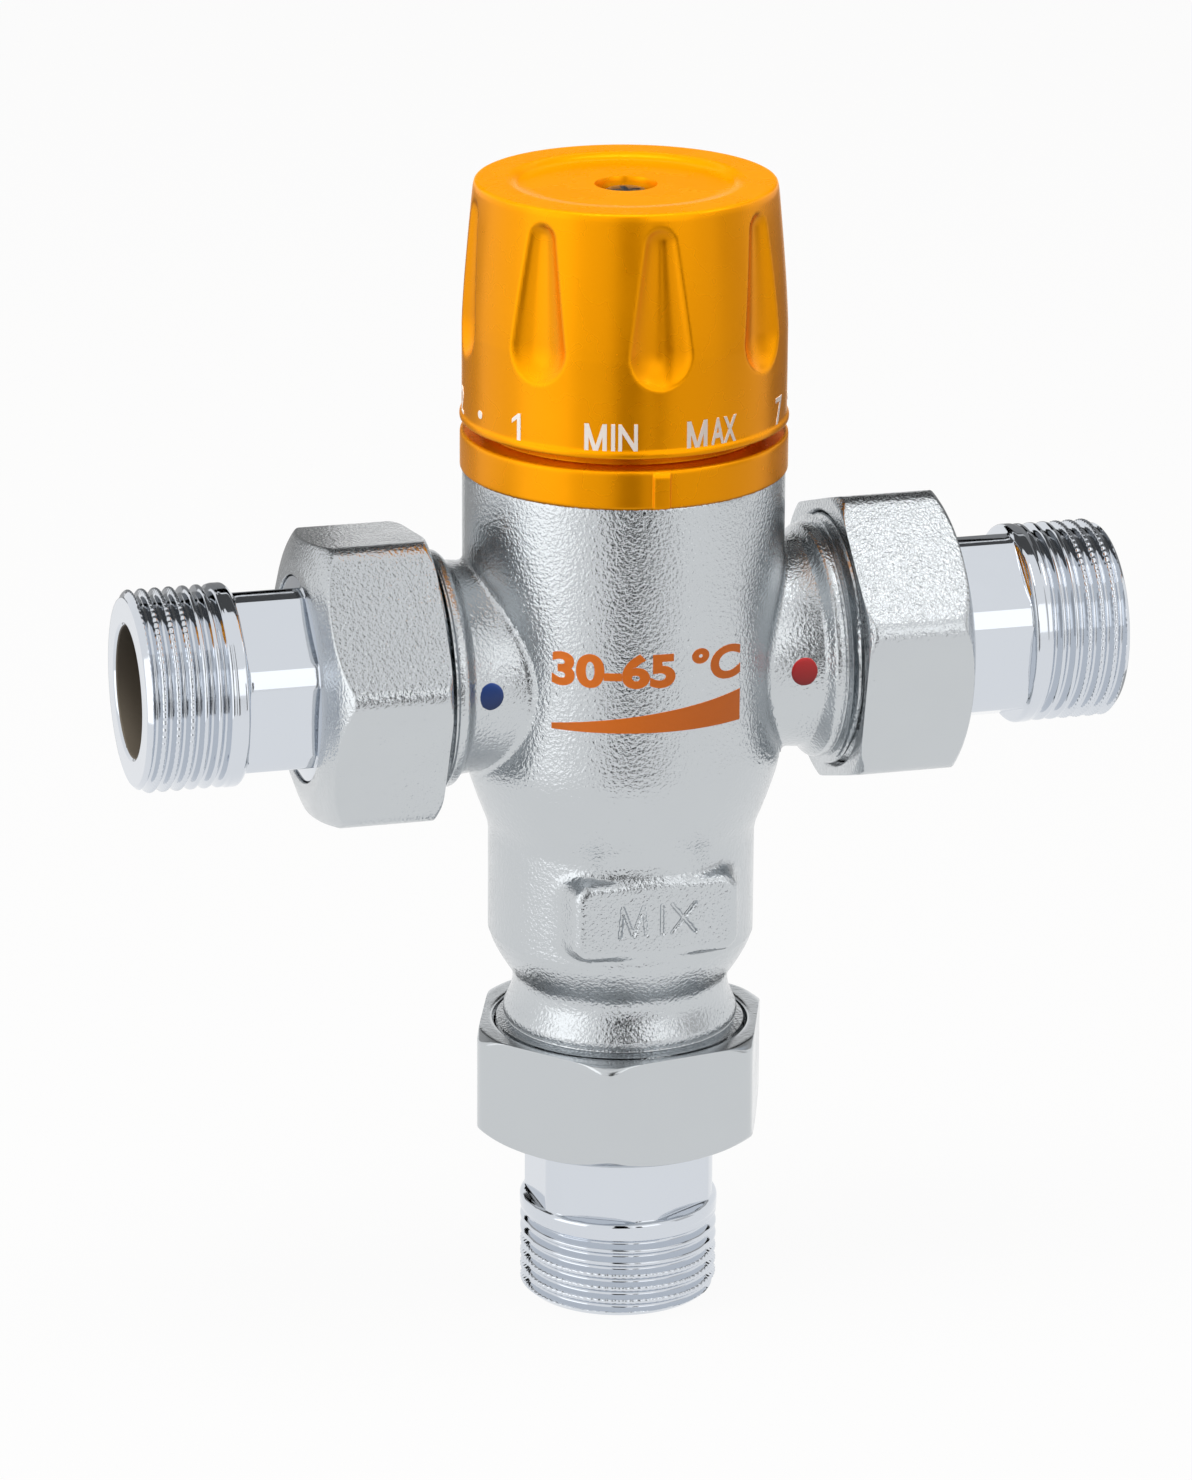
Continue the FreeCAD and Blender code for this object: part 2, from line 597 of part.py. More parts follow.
def dot(x):
    """Coloured disc let into the front of a side neck, flush with its curve."""
    disc = Part.makeCylinder(DOT_R, SIDE_NECK_R, FreeCAD.Vector(x, -SIDE_NECK_R + DOT_DEPTH, DOT_Z),
                             FreeCAD.Vector(0, -1, 0))
    skin = Part.makeCylinder(SIDE_NECK_R + DOT_PROUD, 4 * DOT_R, FreeCAD.Vector(x - 2 * DOT_R, 0, 0),
                             FreeCAD.Vector(1, 0, 0))
    return disc.common(skin)


def dot_pocket(x):
    return Part.makeCylinder(DOT_R, SIDE_NECK_R, FreeCAD.Vector(x, -SIDE_NECK_R + DOT_DEPTH, DOT_Z),
                             FreeCAD.Vector(0, -1, 0))


def neck_fillet(shape):
    """Cast blend where the side necks meet the barrel."""
    radius = min(NECK_FILLET, 0.9 * (SIDE_NECK_END - BARREL_R))
    edges = []
    for edge in shape.Edges:
        box = edge.BoundBox
        spread = max(abs(box.ZMax), abs(box.ZMin))
        outside = min(abs(box.XMin), abs(box.XMax)) > 0.5 * BARREL_R
        if outside and box.ZLength > SIDE_NECK_R and spread < SIDE_NECK_R + 0.1:
            mid = edge.valueAt(0.5 * (edge.FirstParameter + edge.LastParameter))
            if abs(math.hypot(mid.x, mid.y) - BARREL_R) < 0.05:
                edges.append(edge)
    return shape.makeFillet(radius, edges)


def water_ways():
    """Everything machined or cored out of the body."""
    main = turned(
        [(0, BODY_TOP + 1), (BONNET_R + THREAD_PLAY, BODY_TOP + 1),
         (BONNET_R + THREAD_PLAY, CHAMBER_TOP), (RING_CHAMBER_R, CHAMBER_TOP),
         (RING_CHAMBER_R, LAND_HALF), (SPOOL_R + RUNNING, LAND_HALF),
         (SPOOL_R + RUNNING, -LAND_HALF), (RING_CHAMBER_R, -LAND_HALF),
         (RING_CHAMBER_R, HOT_SEAT_Z), (SEAT_BORE_R, HOT_SEAT_Z),
         (SEAT_BORE_R, HOT_SEAT_Z - SEAT_RING), (MIX_CHAMBER_R, HOT_SEAT_Z - SEAT_RING - CHAMBER_SLOPE),
         (MIX_CHAMBER_R, MIX_CHAMBER_BOTTOM + CHAMBER_SLOPE), (SEAT_BORE_R, MIX_CHAMBER_BOTTOM),
         (SEAT_BORE_R, SPRING_SEAT_BOTTOM), (OUTLET_BORE_R, SPRING_SEAT_BOTTOM),
         (OUTLET_BORE_R, -LOWER_FACE - 1), (0, -LOWER_FACE - 1)])
    groove = tube(SPOOL_R + SEAL_PLAY + 2 * SEAL_RING_R, SPOOL_R, -SEAL_RING_R, SEAL_RING_R)
    ways = [main, groove]
    for side, low, high in ((-1, LAND_HALF, PORT_BORE_R - COLD_SLOT_DROP), (1, HOT_SEAT_Z, -LAND_HALF)):
        near, far = RING_CHAMBER_R - SLOT_REACH, PORT_BORE_END + 1
        start, length = min(side * near, side * far), far - near
        ways.append(Part.makeBox(length, 2 * SLOT_HALF_WIDTH, high - low,
                                 FreeCAD.Vector(start, -SLOT_HALF_WIDTH, low)))
        bore = rod(PORT_BORE_R, PORT_BORE_END, SIDE_FACE + 1)
        bore = bore.fuse(rod(CAGE_RIM_R + RUNNING, SIDE_FACE - CAGE_RIM, SIDE_FACE + 1))
        bore.rotate(FreeCAD.Vector(0, 0, 0), FreeCAD.Vector(0, 1, 0), side * 90)
        ways.append(bore)
    return ways


def valve_body():
    shape = barrel_outside()
    for port in (COLD, HOT):
        neck = side_neck(port)
        neck.translate(FreeCAD.Vector(0, 0, -PORT_HEIGHT))
        shape = shape.fuse(neck)
    shape = neck_fillet(shape.removeSplitter())
    shape = shape.fuse(front_pad())
    for way in water_ways():
        shape = shape.cut(way)
    for x in (COLD_DOT_X, HOT_DOT_X):
        shape = shape.cut(dot_pocket(x))
    return shape


# ---------------------------------------------------------------- regulator

def spool():
    inner = SPOOL_R - SPOOL_WALL
    shell = tube(SPOOL_R, inner, -SPOOL_HALF, SPOOL_HALF)
    web = tube(inner + 0.5 * SPOOL_WALL, BULB_R + RUNNING, -SPOOL_WEB, 0)
    slot = tube(inner - 0.3, WEB_HUB_R, -SPOOL_WEB - 1, 1)
    wedge_r = 2 * SPOOL_R
    half = math.radians(WEB_SLOT_DEG / 2)
    corners = [FreeCAD.Vector(0, 0, -SPOOL_WEB - 1),
               FreeCAD.Vector(wedge_r * math.cos(half), -wedge_r * math.sin(half), -SPOOL_WEB - 1),
               FreeCAD.Vector(wedge_r * math.cos(half), wedge_r * math.sin(half), -SPOOL_WEB - 1)]
    wedge = Part.Face(Part.makePolygon(corners + corners[:1]))
    slot = slot.common(wedge.extrude(FreeCAD.Vector(0, 0, SPOOL_WEB + 2)))
    for i in range(WEB_SLOTS):
        web = web.cut(about_axis(slot, 360.0 * i / WEB_SLOTS))
    return shell.fuse(web).removeSplitter()


def spool_seal():
    return round_ring(SPOOL_R + SEAL_PLAY + SEAL_RING_R, SEAL_RING_R, 0)


def wax_element():
    """Bulb under the web, clamping flange on it and guide above, with a blind pin bore."""
    body = turned(
        [(0, -BULB_LENGTH), (BULB_R - BULB_NOSE, -BULB_LENGTH), (BULB_R, -BULB_LENGTH + BULB_NOSE),
         (BULB_R, 0), (ELEMENT_FLANGE_R, 0), (ELEMENT_FLANGE_R, ELEMENT_FLANGE),
         (GUIDE_R, ELEMENT_FLANGE), (GUIDE_R, GUIDE_TOP), (0, GUIDE_TOP)])
    return body.cut(rod(PIN_R + RUNNING, GUIDE_TOP - PIN_DEPTH - RUNNING, GUIDE_TOP + 1))


def element_pin():
    return rod(PIN_R, GUIDE_TOP - PIN_DEPTH, CAP_BOTTOM)


def spring_seat():
    """Pierced disc that carries the return spring over the outlet bore."""
    disc = tube(SEAT_BORE_R - RUNNING, SPRING_SEAT_BORE_R, SPRING_SEAT_BOTTOM, MIX_CHAMBER_BOTTOM)
    hole = rod(SPRING_SEAT_HOLE_R, SPRING_SEAT_BOTTOM - 1, MIX_CHAMBER_BOTTOM + 1)
    hole.translate(FreeCAD.Vector(0.5 * (SPRING_SEAT_BORE_R + RETURN_MEAN_R), 0, 0))
    return disc.cut(around(hole, SPRING_SEAT_HOLES))


def return_spring():
    return coil(RETURN_MEAN_R, RETURN_WIRE_R, MIX_CHAMBER_BOTTOM, -SPOOL_WEB, RETURN_TURNS)


def thrust_cap():
    return rod(CUP_R - RUNNING, CAP_BOTTOM, CAP_TOP)


def cap_clip():
    """Open wire clip in the cup's groove, which holds the thrust cap in."""
    outer = CUP_R + CLIP_BITE
    ring = tube(outer, outer - CLIP_RADIAL, CLIP_BOTTOM, CAP_BOTTOM)
    half = math.radians(CLIP_GAP_DEG / 2)
    reach = 2 * outer
    corners = [FreeCAD.Vector(0, 0, CLIP_BOTTOM - 1),
               FreeCAD.Vector(reach * math.cos(half), -reach * math.sin(half), CLIP_BOTTOM - 1),
               FreeCAD.Vector(reach * math.cos(half), reach * math.sin(half), CLIP_BOTTOM - 1)]
    gap = Part.Face(Part.makePolygon(corners + corners[:1]))
    return ring.cut(gap.extrude(FreeCAD.Vector(0, 0, CLIP_THICKNESS + 2)))


def keys(width, radius, low, high):
    """Two opposed bars that stop the adjusting nut turning."""
    return Part.makeBox(2 * radius, width, high - low, FreeCAD.Vector(-radius, -width / 2, low))


def adjusting_nut():
    """Threaded block with a cup below it for the overtravel spring and thrust cap."""
    block = rod(ADJUSTER_R, CUP_BOTTOM, ADJUSTER_TOP)
    bars = keys(KEY_WIDTH, ADJUSTER_R + KEY_HEIGHT, CUP_CEILING, ADJUSTER_TOP)
    keyed = rod(ADJUSTER_R + KEY_HEIGHT, CUP_CEILING, ADJUSTER_TOP).common(bars)
    block = block.fuse(keyed)
    block = block.cut(rod(SPINDLE_THREAD_R + RUNNING, CUP_CEILING - 1, ADJUSTER_TOP + 1))
    block = block.cut(rod(CUP_R, CUP_BOTTOM - 1, CUP_CEILING))
    return block.cut(tube(CUP_R + CLIP_BITE, 0.5 * CUP_R, CLIP_BOTTOM, CAP_BOTTOM)).removeSplitter()


def overtravel_spring():
    return coil(OVERTRAVEL_MEAN_R, OVERTRAVEL_WIRE_R, CAP_TOP, CUP_CEILING, OVERTRAVEL_TURNS)


def bonnet():
    """Screwed plug with the cold seat below it and the nut's guide bore inside."""
    flange_top = BODY_TOP + BONNET_FLANGE
    shape = turned(
        [(SEAT_TUBE_BORE_R, COLD_SEAT_Z), (SEAT_TUBE_R, COLD_SEAT_Z),
         (SEAT_TUBE_R, CHAMBER_TOP), (BONNET_R, CHAMBER_TOP), (BONNET_R, BODY_TOP),
         (BONNET_FLANGE_R, BODY_TOP), (BONNET_FLANGE_R, flange_top),
         (BONNET_NECK_R, flange_top), (BONNET_NECK_R, BONNET_TOP - BONNET_CHAMFER),
         (BONNET_NECK_R - BONNET_CHAMFER, BONNET_TOP), (SPINDLE_R + RUNNING, BONNET_TOP),
         (SPINDLE_R + RUNNING, ROOF_BOTTOM), (GUIDE_BORE_R, ROOF_BOTTOM),
         (GUIDE_BORE_R, SEAT_TUBE_TOP), (SEAT_TUBE_BORE_R, SEAT_TUBE_TOP - 1)])
    slots = keys(KEY_WIDTH + 2 * RUNNING, GUIDE_BORE_R + KEY_HEIGHT + RUNNING, SEAT_TUBE_TOP, ROOF_BOTTOM)
    shape = shape.cut(slots)
    groove = tube(BONNET_R + 1, BONNET_R - 2 * BONNET_RING_R, BONNET_RING_Z - BONNET_RING_R,
                  BONNET_RING_Z + BONNET_RING_R)
    return shape.cut(groove)


def bonnet_ring():
    return round_ring(BONNET_R - BONNET_RING_R, BONNET_RING_R, BONNET_RING_Z)


SPINDLE_RING_Z = BONNET_TOP - 0.5 * BONNET_ROOF


def spindle():
    """Thread, thrust collar, journal with a ring groove, and splined end for the knob."""
    shaft = turned(
        [(0, SPINDLE_THREAD_END), (SPINDLE_THREAD_R - THREAD_LEAD, SPINDLE_THREAD_END),
         (SPINDLE_THREAD_R, SPINDLE_THREAD_END + THREAD_LEAD),
         (SPINDLE_THREAD_R, COLLAR_TOP - SPINDLE_COLLAR),
         (SPINDLE_COLLAR_R, COLLAR_TOP - SPINDLE_COLLAR), (SPINDLE_COLLAR_R, COLLAR_TOP),
         (SPINDLE_R, COLLAR_TOP), (SPINDLE_R, BONNET_TOP + 1), (SPLINE_R, BONNET_TOP + 1.5),
         (SPLINE_R, SPINDLE_TOP - SPLINE_LEAD), (SPLINE_R - SPLINE_LEAD, SPINDLE_TOP), (0, SPINDLE_TOP)])
    groove = tube(SPINDLE_R + 1, SPINDLE_R - 2 * SPINDLE_RING_R + RUNNING,
                  SPINDLE_RING_Z - SPINDLE_RING_R, SPINDLE_RING_Z + SPINDLE_RING_R)
    shaft = shaft.cut(groove)
    gap = Part.makeBox(2 * SPLINE_DEPTH, SPLINE_DEPTH, SPINDLE_TOP - KNOB_HUB_BOTTOM + 1,
                       FreeCAD.Vector(SPLINE_R - SPLINE_DEPTH, -SPLINE_DEPTH / 2, KNOB_HUB_BOTTOM))
    shaft = shaft.cut(around(gap, SPLINES))
    return shaft.cut(rod(SCREW_CORE_R, SPINDLE_TOP - SCREW_HOLE_DEPTH, SPINDLE_TOP + 1))


def spindle_ring():
    return round_ring(SPINDLE_R - SPINDLE_RING_R + RUNNING, SPINDLE_RING_R, SPINDLE_RING_Z)


# ---------------------------------------------------------------- knob and index ring

def knob_radius(z):
    """Outside radius of the knob's side at a height between its waist and its top."""
    share = (z - KNOB_WAIST_Z) / (KNOB_TOP - KNOB_WAIST_Z)
    return KNOB_R - (KNOB_R - KNOB_SHOULDER_R) * share ** 1.3


def flute_cutter():
    """Two balls joined by their tangent cone: the long drop-shaped finger flute."""
    low_d = knob_radius(FLUTE_LOW_Z) - FLUTE_LOW_DEPTH + FLUTE_LOW_R
    high_d = knob_radius(FLUTE_HIGH_Z) - FLUTE_HIGH_DEPTH + FLUTE_HIGH_R
    length = math.hypot(high_d - low_d, FLUTE_HIGH_Z - FLUTE_LOW_Z)
    lean = math.asin((FLUTE_LOW_R - FLUTE_HIGH_R) / length)
    s, c = math.sin(lean), math.cos(lean)
    profile = [(0, -FLUTE_LOW_R), (FLUTE_LOW_R * c, FLUTE_LOW_R * s),
               (FLUTE_HIGH_R * c, length + FLUTE_HIGH_R * s), (0, length + FLUTE_HIGH_R)]
    down = -math.pi / 4 + lean / 2
    up = math.pi / 4 + lean / 2
    drop = turned(profile, {
        0: (FLUTE_LOW_R * math.cos(down), FLUTE_LOW_R * math.sin(down)),
        2: (FLUTE_HIGH_R * math.cos(up), length + FLUTE_HIGH_R * math.sin(up))})
    tilt = math.degrees(math.atan2(high_d - low_d, FLUTE_HIGH_Z - FLUTE_LOW_Z))
    drop.rotate(FreeCAD.Vector(0, 0, 0), FreeCAD.Vector(0, 1, 0), tilt)
    drop.translate(FreeCAD.Vector(low_d, 0, FLUTE_LOW_Z))
    return drop


def knob():
    """Moulded cap: tapered skirt with eight flutes, hub for the spindle, dished top."""
    middle_z = 0.5 * (KNOB_WAIST_Z + KNOB_TOP)
    top_r = knob_radius(KNOB_TOP)
    edge = KNOB_EDGE
    side_top = KNOB_TOP - edge
    floor = KNOB_TOP - KNOB_RECESS
    shape = turned(
        [(KNOB_SKIRT_BORE_R, KNOB_BOTTOM), (KNOB_FOOT_R, KNOB_BOTTOM),
         (KNOB_FOOT_R, KNOB_BOTTOM + KNOB_LIP), (KNOB_R, KNOB_BOTTOM + 1.4 * KNOB_LIP),
         (KNOB_R, KNOB_WAIST_Z), (top_r, side_top), (top_r - edge, KNOB_TOP),
         (KNOB_RECESS_R, KNOB_TOP), (KNOB_RECESS_R, floor), (KNOB_HOLE_R, floor),
         (KNOB_HOLE_R, SCREW_SEAT_Z), (SCREW_R + LOOSE, SCREW_SEAT_Z),
         (SCREW_R + LOOSE, SPINDLE_TOP + RUNNING), (SPLINE_R + RUNNING, SPINDLE_TOP + RUNNING),
         (SPLINE_R + RUNNING, KNOB_HUB_BOTTOM), (KNOB_HUB_R, KNOB_HUB_BOTTOM),
         (KNOB_HUB_R, KNOB_CEILING), (KNOB_UPPER_BORE_R, KNOB_CEILING),
         (KNOB_UPPER_BORE_R, KNOB_STEP_Z), (KNOB_SKIRT_BORE_R, KNOB_STEP_Z - 1)],
        {4: (knob_radius(middle_z), middle_z)})
    cutter = about_axis(flute_cutter(), -90 + FLUTE_FIRST_DEG)
    for i in range(FLUTES):
        shape = shape.cut(about_axis(cutter, 360.0 * i / FLUTES))
    return shape


def knob_screw():
    head_top = SCREW_SEAT_Z + SCREW_HEAD
    screw = turned(
        [(0, SCREW_SEAT_Z + SCREW_HEAD - SCREW_LENGTH), (SCREW_R, SCREW_SEAT_Z + SCREW_HEAD - SCREW_LENGTH),
         (SCREW_R, SCREW_SEAT_Z), (SCREW_HEAD_R, SCREW_SEAT_Z),
         (SCREW_HEAD_R, head_top - 0.5), (SCREW_HEAD_R - 0.8, head_top), (0, head_top)])
    for long, wide in ((SCREW_SLOT_ARM, SCREW_SLOT_WIDTH / 2), (SCREW_SLOT_WIDTH / 2, SCREW_SLOT_ARM)):
        screw = screw.cut(Part.makeBox(2 * long, 2 * wide, SCREW_SLOT_DEPTH + 1,
                                       FreeCAD.Vector(-long, -wide, head_top - SCREW_SLOT_DEPTH)))
    return screw


def index_ring():
    """Ring on top of the body, with a raised pointer rib and a spigot inside the knob."""
    inner = BONNET_FLANGE_R + RUNNING
    flange_top = BODY_TOP + BONNET_FLANGE
    edge = INDEX_EDGE_R
    shape = turned(
        [(inner, BODY_TOP), (INDEX_R, BODY_TOP), (INDEX_R, INDEX_TOP - edge),
         (INDEX_R - edge, INDEX_TOP), (INDEX_SPIGOT_R, INDEX_TOP),
         (INDEX_SPIGOT_R, INDEX_TOP + INDEX_SPIGOT), (inner, INDEX_TOP + INDEX_SPIGOT)])
    rib = Part.makeBox(INDEX_RIB_ROOT + INDEX_RIB_PROUD, INDEX_RIB_WIDTH, INDEX_HEIGHT - edge,
                       FreeCAD.Vector(INDEX_R - INDEX_RIB_ROOT, -INDEX_RIB_WIDTH / 2, BODY_TOP))
    return shape.fuse(about_axis(rib, -90 + INDEX_RIB_DEG)).removeSplitter()


# ---------------------------------------------------------------- write every node

def export(name, shape):
    shape.exportStep("parts/" + name + ".step")


def main():
    os.makedirs("parts", exist_ok=True)
    nut, stub, washer = union_nut(), tail(), gasket()
    for port, nut_deg, tail_deg in ((COLD, COLD_NUT_DEG, COLD_TAIL_DEG), (HOT, HOT_NUT_DEG, HOT_TAIL_DEG),
                                    (MIXED, MIX_NUT_DEG, MIX_TAIL_DEG)):
        export("union_nut_" + port.name, port.place(nut, 0, nut_deg))
        export("tail_" + port.name, port.place(stub, GASKET_THICKNESS, tail_deg))
        export("gasket_" + port.name, port.place(washer))
    basket, cage, poppet, spring = strainer(), check_cage(), check_poppet(), check_spring()
    for port in (COLD, HOT):
        export("strainer_" + port.name, port.place(basket, GASKET_THICKNESS))
        export("check_cage_" + port.name, port.place(cage))
        export("check_poppet_" + port.name, port.place(poppet))
        export("check_spring_" + port.name, port.place(spring))
    stack = {
        "valve_body": valve_body(), "cold_dot": dot(COLD_DOT_X), "hot_dot": dot(HOT_DOT_X),
        "bonnet": bonnet(), "bonnet_ring": bonnet_ring(),
        "spindle": spindle(), "spindle_ring": spindle_ring(),
        "adjusting_nut": adjusting_nut(), "overtravel_spring": overtravel_spring(),
        "thrust_cap": thrust_cap(), "cap_clip": cap_clip(), "element_pin": element_pin(),
        "wax_element": wax_element(), "regulating_spool": spool(), "spool_seal": spool_seal(),
        "return_spring": return_spring(), "spring_seat": spring_seat(),
        "index_ring": index_ring(), "knob": knob(), "knob_screw": knob_screw(),
    }
    for name, shape in stack.items():
        export(name, lifted(shape))


main()
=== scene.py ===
"""Dresses a tempering mixing valve: plated body, unions, threads, knob, dial marks and stage."""
import json
import math

import bmesh
import bpy
import numpy as np
from bpy.props import FloatProperty, FloatVectorProperty, IntProperty, PointerProperty
from mathutils import Matrix, Vector


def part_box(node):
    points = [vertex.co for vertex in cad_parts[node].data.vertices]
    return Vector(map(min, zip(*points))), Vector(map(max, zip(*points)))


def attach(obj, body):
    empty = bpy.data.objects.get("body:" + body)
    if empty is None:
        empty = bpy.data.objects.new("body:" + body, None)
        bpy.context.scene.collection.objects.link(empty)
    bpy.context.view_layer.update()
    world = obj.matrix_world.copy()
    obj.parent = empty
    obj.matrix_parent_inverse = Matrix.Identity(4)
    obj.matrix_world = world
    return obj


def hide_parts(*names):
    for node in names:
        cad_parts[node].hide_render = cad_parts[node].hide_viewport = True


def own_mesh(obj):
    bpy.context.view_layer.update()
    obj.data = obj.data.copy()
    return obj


bl_info = {
    "name": "Tempering valve",
    "version": (1, 0, 0),
    "blender": (4, 5, 0),
    "location": "3D View > Sidebar > Valve",
    "description": "Builds the visible surfaces, finishes and stage of a tempering mixing valve",
    "category": "Object",
}

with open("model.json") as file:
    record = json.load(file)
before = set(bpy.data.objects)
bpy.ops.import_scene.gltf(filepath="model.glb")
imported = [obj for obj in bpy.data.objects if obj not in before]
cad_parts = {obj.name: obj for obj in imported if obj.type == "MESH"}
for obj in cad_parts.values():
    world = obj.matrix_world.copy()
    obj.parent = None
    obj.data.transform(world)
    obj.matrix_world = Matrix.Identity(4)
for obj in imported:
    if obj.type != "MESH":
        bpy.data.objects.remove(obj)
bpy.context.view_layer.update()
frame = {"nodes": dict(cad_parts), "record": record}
MM = 0.001
TAU = 2 * math.pi


def middle(node):
    """Centre of a CAD node's box."""
    low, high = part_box(node)
    return 0.5 * (low + high)


PORT_Z = middle("tail_cold").z
KNOB_LOW, KNOB_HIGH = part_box("knob")
KNOB_WAIST = KNOB_LOW.z + 12.5 * MM     # below this height the knob's side is straight
RING_LOW, RING_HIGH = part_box("index_ring")
BODY_LOW, BODY_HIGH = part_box("valve_body")
SIDE_FACE = BODY_HIGH.x                 # distance of a side neck's end face from the axis
BORE_R = 8.6 * MM                       # water passage through the tails and the body's outlet
THREAD_DEPTH = 1.3 * MM                 # union thread under the nuts
TAIL_THREAD_START, TAIL_END = 17.8 * MM, 29.4 * MM    # along a tail, from the body's end face
CAMERA_BEARING = 15.768                 # degrees from the front towards the cold side


# ---------------------------------------------------------------- sizes and colours to set

def length(name, mm, text):
    """Setting for a length, its default given in millimetres."""
    return FloatProperty(name=name, description=text, default=mm * MM, unit="LENGTH", precision=5)


def angle(name, degrees, text):
    """Setting for an angle, its default given in degrees."""
    return FloatProperty(name=name, description=text, default=math.radians(degrees), subtype="ANGLE")


def linear(hex_colour):
    """sRGB hex to linear RGB."""
    channels = [int(hex_colour[i:i + 2], 16) / 255 for i in (1, 3, 5)]
    return tuple(c / 12.92 if c <= 0.04045 else ((c + 0.055) / 1.055) ** 2.4 for c in channels)


def colour(name, hex_colour, text):
    """Setting for a colour, its default given as sRGB hex."""
    return FloatVectorProperty(name=name, description=text, default=linear(hex_colour), subtype="COLOR",
                               size=3, min=0, max=1)


class ValveBodySizes(bpy.types.PropertyGroup):
    """Sizes of the cast body"""
    barrel_r: length("Barrel radius", 21.1, "Outside radius of the upper barrel")
    lower_r: length("Lower barrel radius", 17.65, "Outside radius of the lower barrel")
    mix_neck_r: length("Mixed neck radius", 14.4, "Narrowest radius above the mixed union")
    side_neck_r: length("Side neck radius", 13.9, "Outside radius of the two side necks")
    collar_r: length("Collar radius", 15.6, "Radius of the collar behind each union thread")
    blend: length("Blend", 0.8, "Size of the cast blend between a side neck and the barrel")
    pad_face: length("Pad distance", 17.95, "Distance of the front pad's face from the valve's axis")
    pad_half_width: length("Pad half width", 10.9, "Half the width of the front pad's face")
    pad_half_height: length("Pad half height", 5.1, "Half the height of the front pad's face")
    pad_drop: length("Pad drop", 31.0, "Depth of the pad's centre below the side ports' axis")


class UnionSizes(bpy.types.PropertyGroup):
    """Sizes of the union nuts, the tails and their threads"""
    thread_r: length("Union thread radius", 16.62, "Crest radius of the G 1 thread under each nut")
    thread_pitch: length("Union thread pitch", 2.309, "Pitch of the G 1 thread")
    nut_flats: length("Nut across flats", 36.7, "Distance between opposite flats of a union nut")
    nut_corner: length("Nut corner round", 3.2, "Rounding of the nut's six upright corners")
    tail_thread_r: length("Tail thread radius", 13.22, "Crest radius of the G 3/4 thread")
    tail_pitch: length("Tail thread pitch", 1.814, "Pitch of the G 3/4 thread")
    tail_depth: length("Tail thread depth", 1.0, "Depth of the G 3/4 thread")
    tail_bar_r: length("Tail bar radius", 12.75, "Radius left at the corners between wrench flats")
    tail_flats: length("Tail across flats", 23.4, "Distance between opposite wrench flats of a tail")
    serrations: IntProperty(name="Serrations", description="Notches round each outer thread crest",
                            default=84, min=12)


class KnobSizes(bpy.types.PropertyGroup):
    """Sizes of the knob and its marks"""
    side_r: length("Side radius", 21.15, "Radius of the knob's straight lower part")
    shoulder_r: length("Shoulder radius", 19.65, "Radius at the top edge")
    foot_r: length("Foot radius", 21.45, "Radius of the lip at the knob's foot")
    recess_r: length("Recess radius", 14.0, "Radius of the shallow dish in the top")
    hole_r: length("Hole radius", 3.9, "Radius of the screw's hole")
    flutes: IntProperty(name="Flutes", description="Number of finger flutes", default=8, min=3)
    first_flute: angle("First flute", -3.0, "Angle of the first flute from the front")
    mark_height: length("Mark height", 3.7, "Height of the dial letters and numbers")


class FinishColours(bpy.types.PropertyGroup):
    """Colours of the visible finishes"""
    plating: colour("Plating", "#C5C9CC", "Satin plated castings")
    bright: colour("Bright plating", "#D3D8DF", "Turned and plated tails")
    knob: colour("Knob", "#F09A00", "Moulded knob and index ring")
    marks: colour("Marks", "#FBFBF6", "Dial marks")
    print_orange: colour("Print", "#E0771C", "Print on the barrel")
    cold: colour("Cold dot", "#123C84", "Cold inlet dot")
    hot: colour("Hot dot", "#B22024", "Hot inlet dot")


SETTINGS = {"valve_body_sizes": ValveBodySizes, "valve_union_sizes": UnionSizes,
            "valve_knob_sizes": KnobSizes, "valve_colours": FinishColours}


# ---------------------------------------------------------------- surface helpers

def grid_object(name, points, close_rows=True, close_columns=True, material=None, sharp=32.0):
    """Mesh object from a (rows, columns, 3) array of points, joined round the closed directions."""
    rows, columns = points.shape[:2]
    i = np.arange(rows if close_rows else rows - 1)[:, None]
    j = np.arange(columns if close_columns else columns - 1)[None, :]
    a = i * columns + j
    b = i * columns + (j + 1) % columns
    c = ((i + 1) % rows) * columns + (j + 1) % columns
    d = ((i + 1) % rows) * columns + j
    quads = np.stack([a, b, c, d], -1).reshape(-1, 4)
    mesh = bpy.data.meshes.new(name)
    mesh.vertices.add(rows * columns)
    mesh.vertices.foreach_set("co", points.reshape(-1).astype(np.float32))
    mesh.loops.add(quads.size)
    mesh.loops.foreach_set("vertex_index", quads.reshape(-1).astype(np.int32))
    mesh.polygons.add(len(quads))
    mesh.polygons.foreach_set("loop_start", np.arange(0, quads.size, 4, dtype=np.int32))
    mesh.update(calc_edges=True)
    mesh.validate()
    return finish_mesh(name, mesh, material, sharp)


def new_object(name, data):
    """Object linked to the scene."""
    thing = bpy.data.objects.new(name, data)
    bpy.context.scene.collection.objects.link(thing)
    return thing


def finish_mesh(name, mesh, material, sharp):
    """Link a mesh as an object, smooth it up to an edge angle and give it its material."""
    mesh.shade_smooth()
    mesh.set_sharp_from_angle(angle=math.radians(sharp))
    if material:
        mesh.materials.append(material)
    return new_object(name, mesh)


def quadratic(start, bend, end, t):
    """Quadratic curve from start to end, drawn towards bend.

    The three take shares of (1-t)^2, 2t(1-t) and t^2, with t running from 0 to 1."""
    return (1 - t) ** 2 * start + 2 * t * (1 - t) * bend + t ** 2 * end


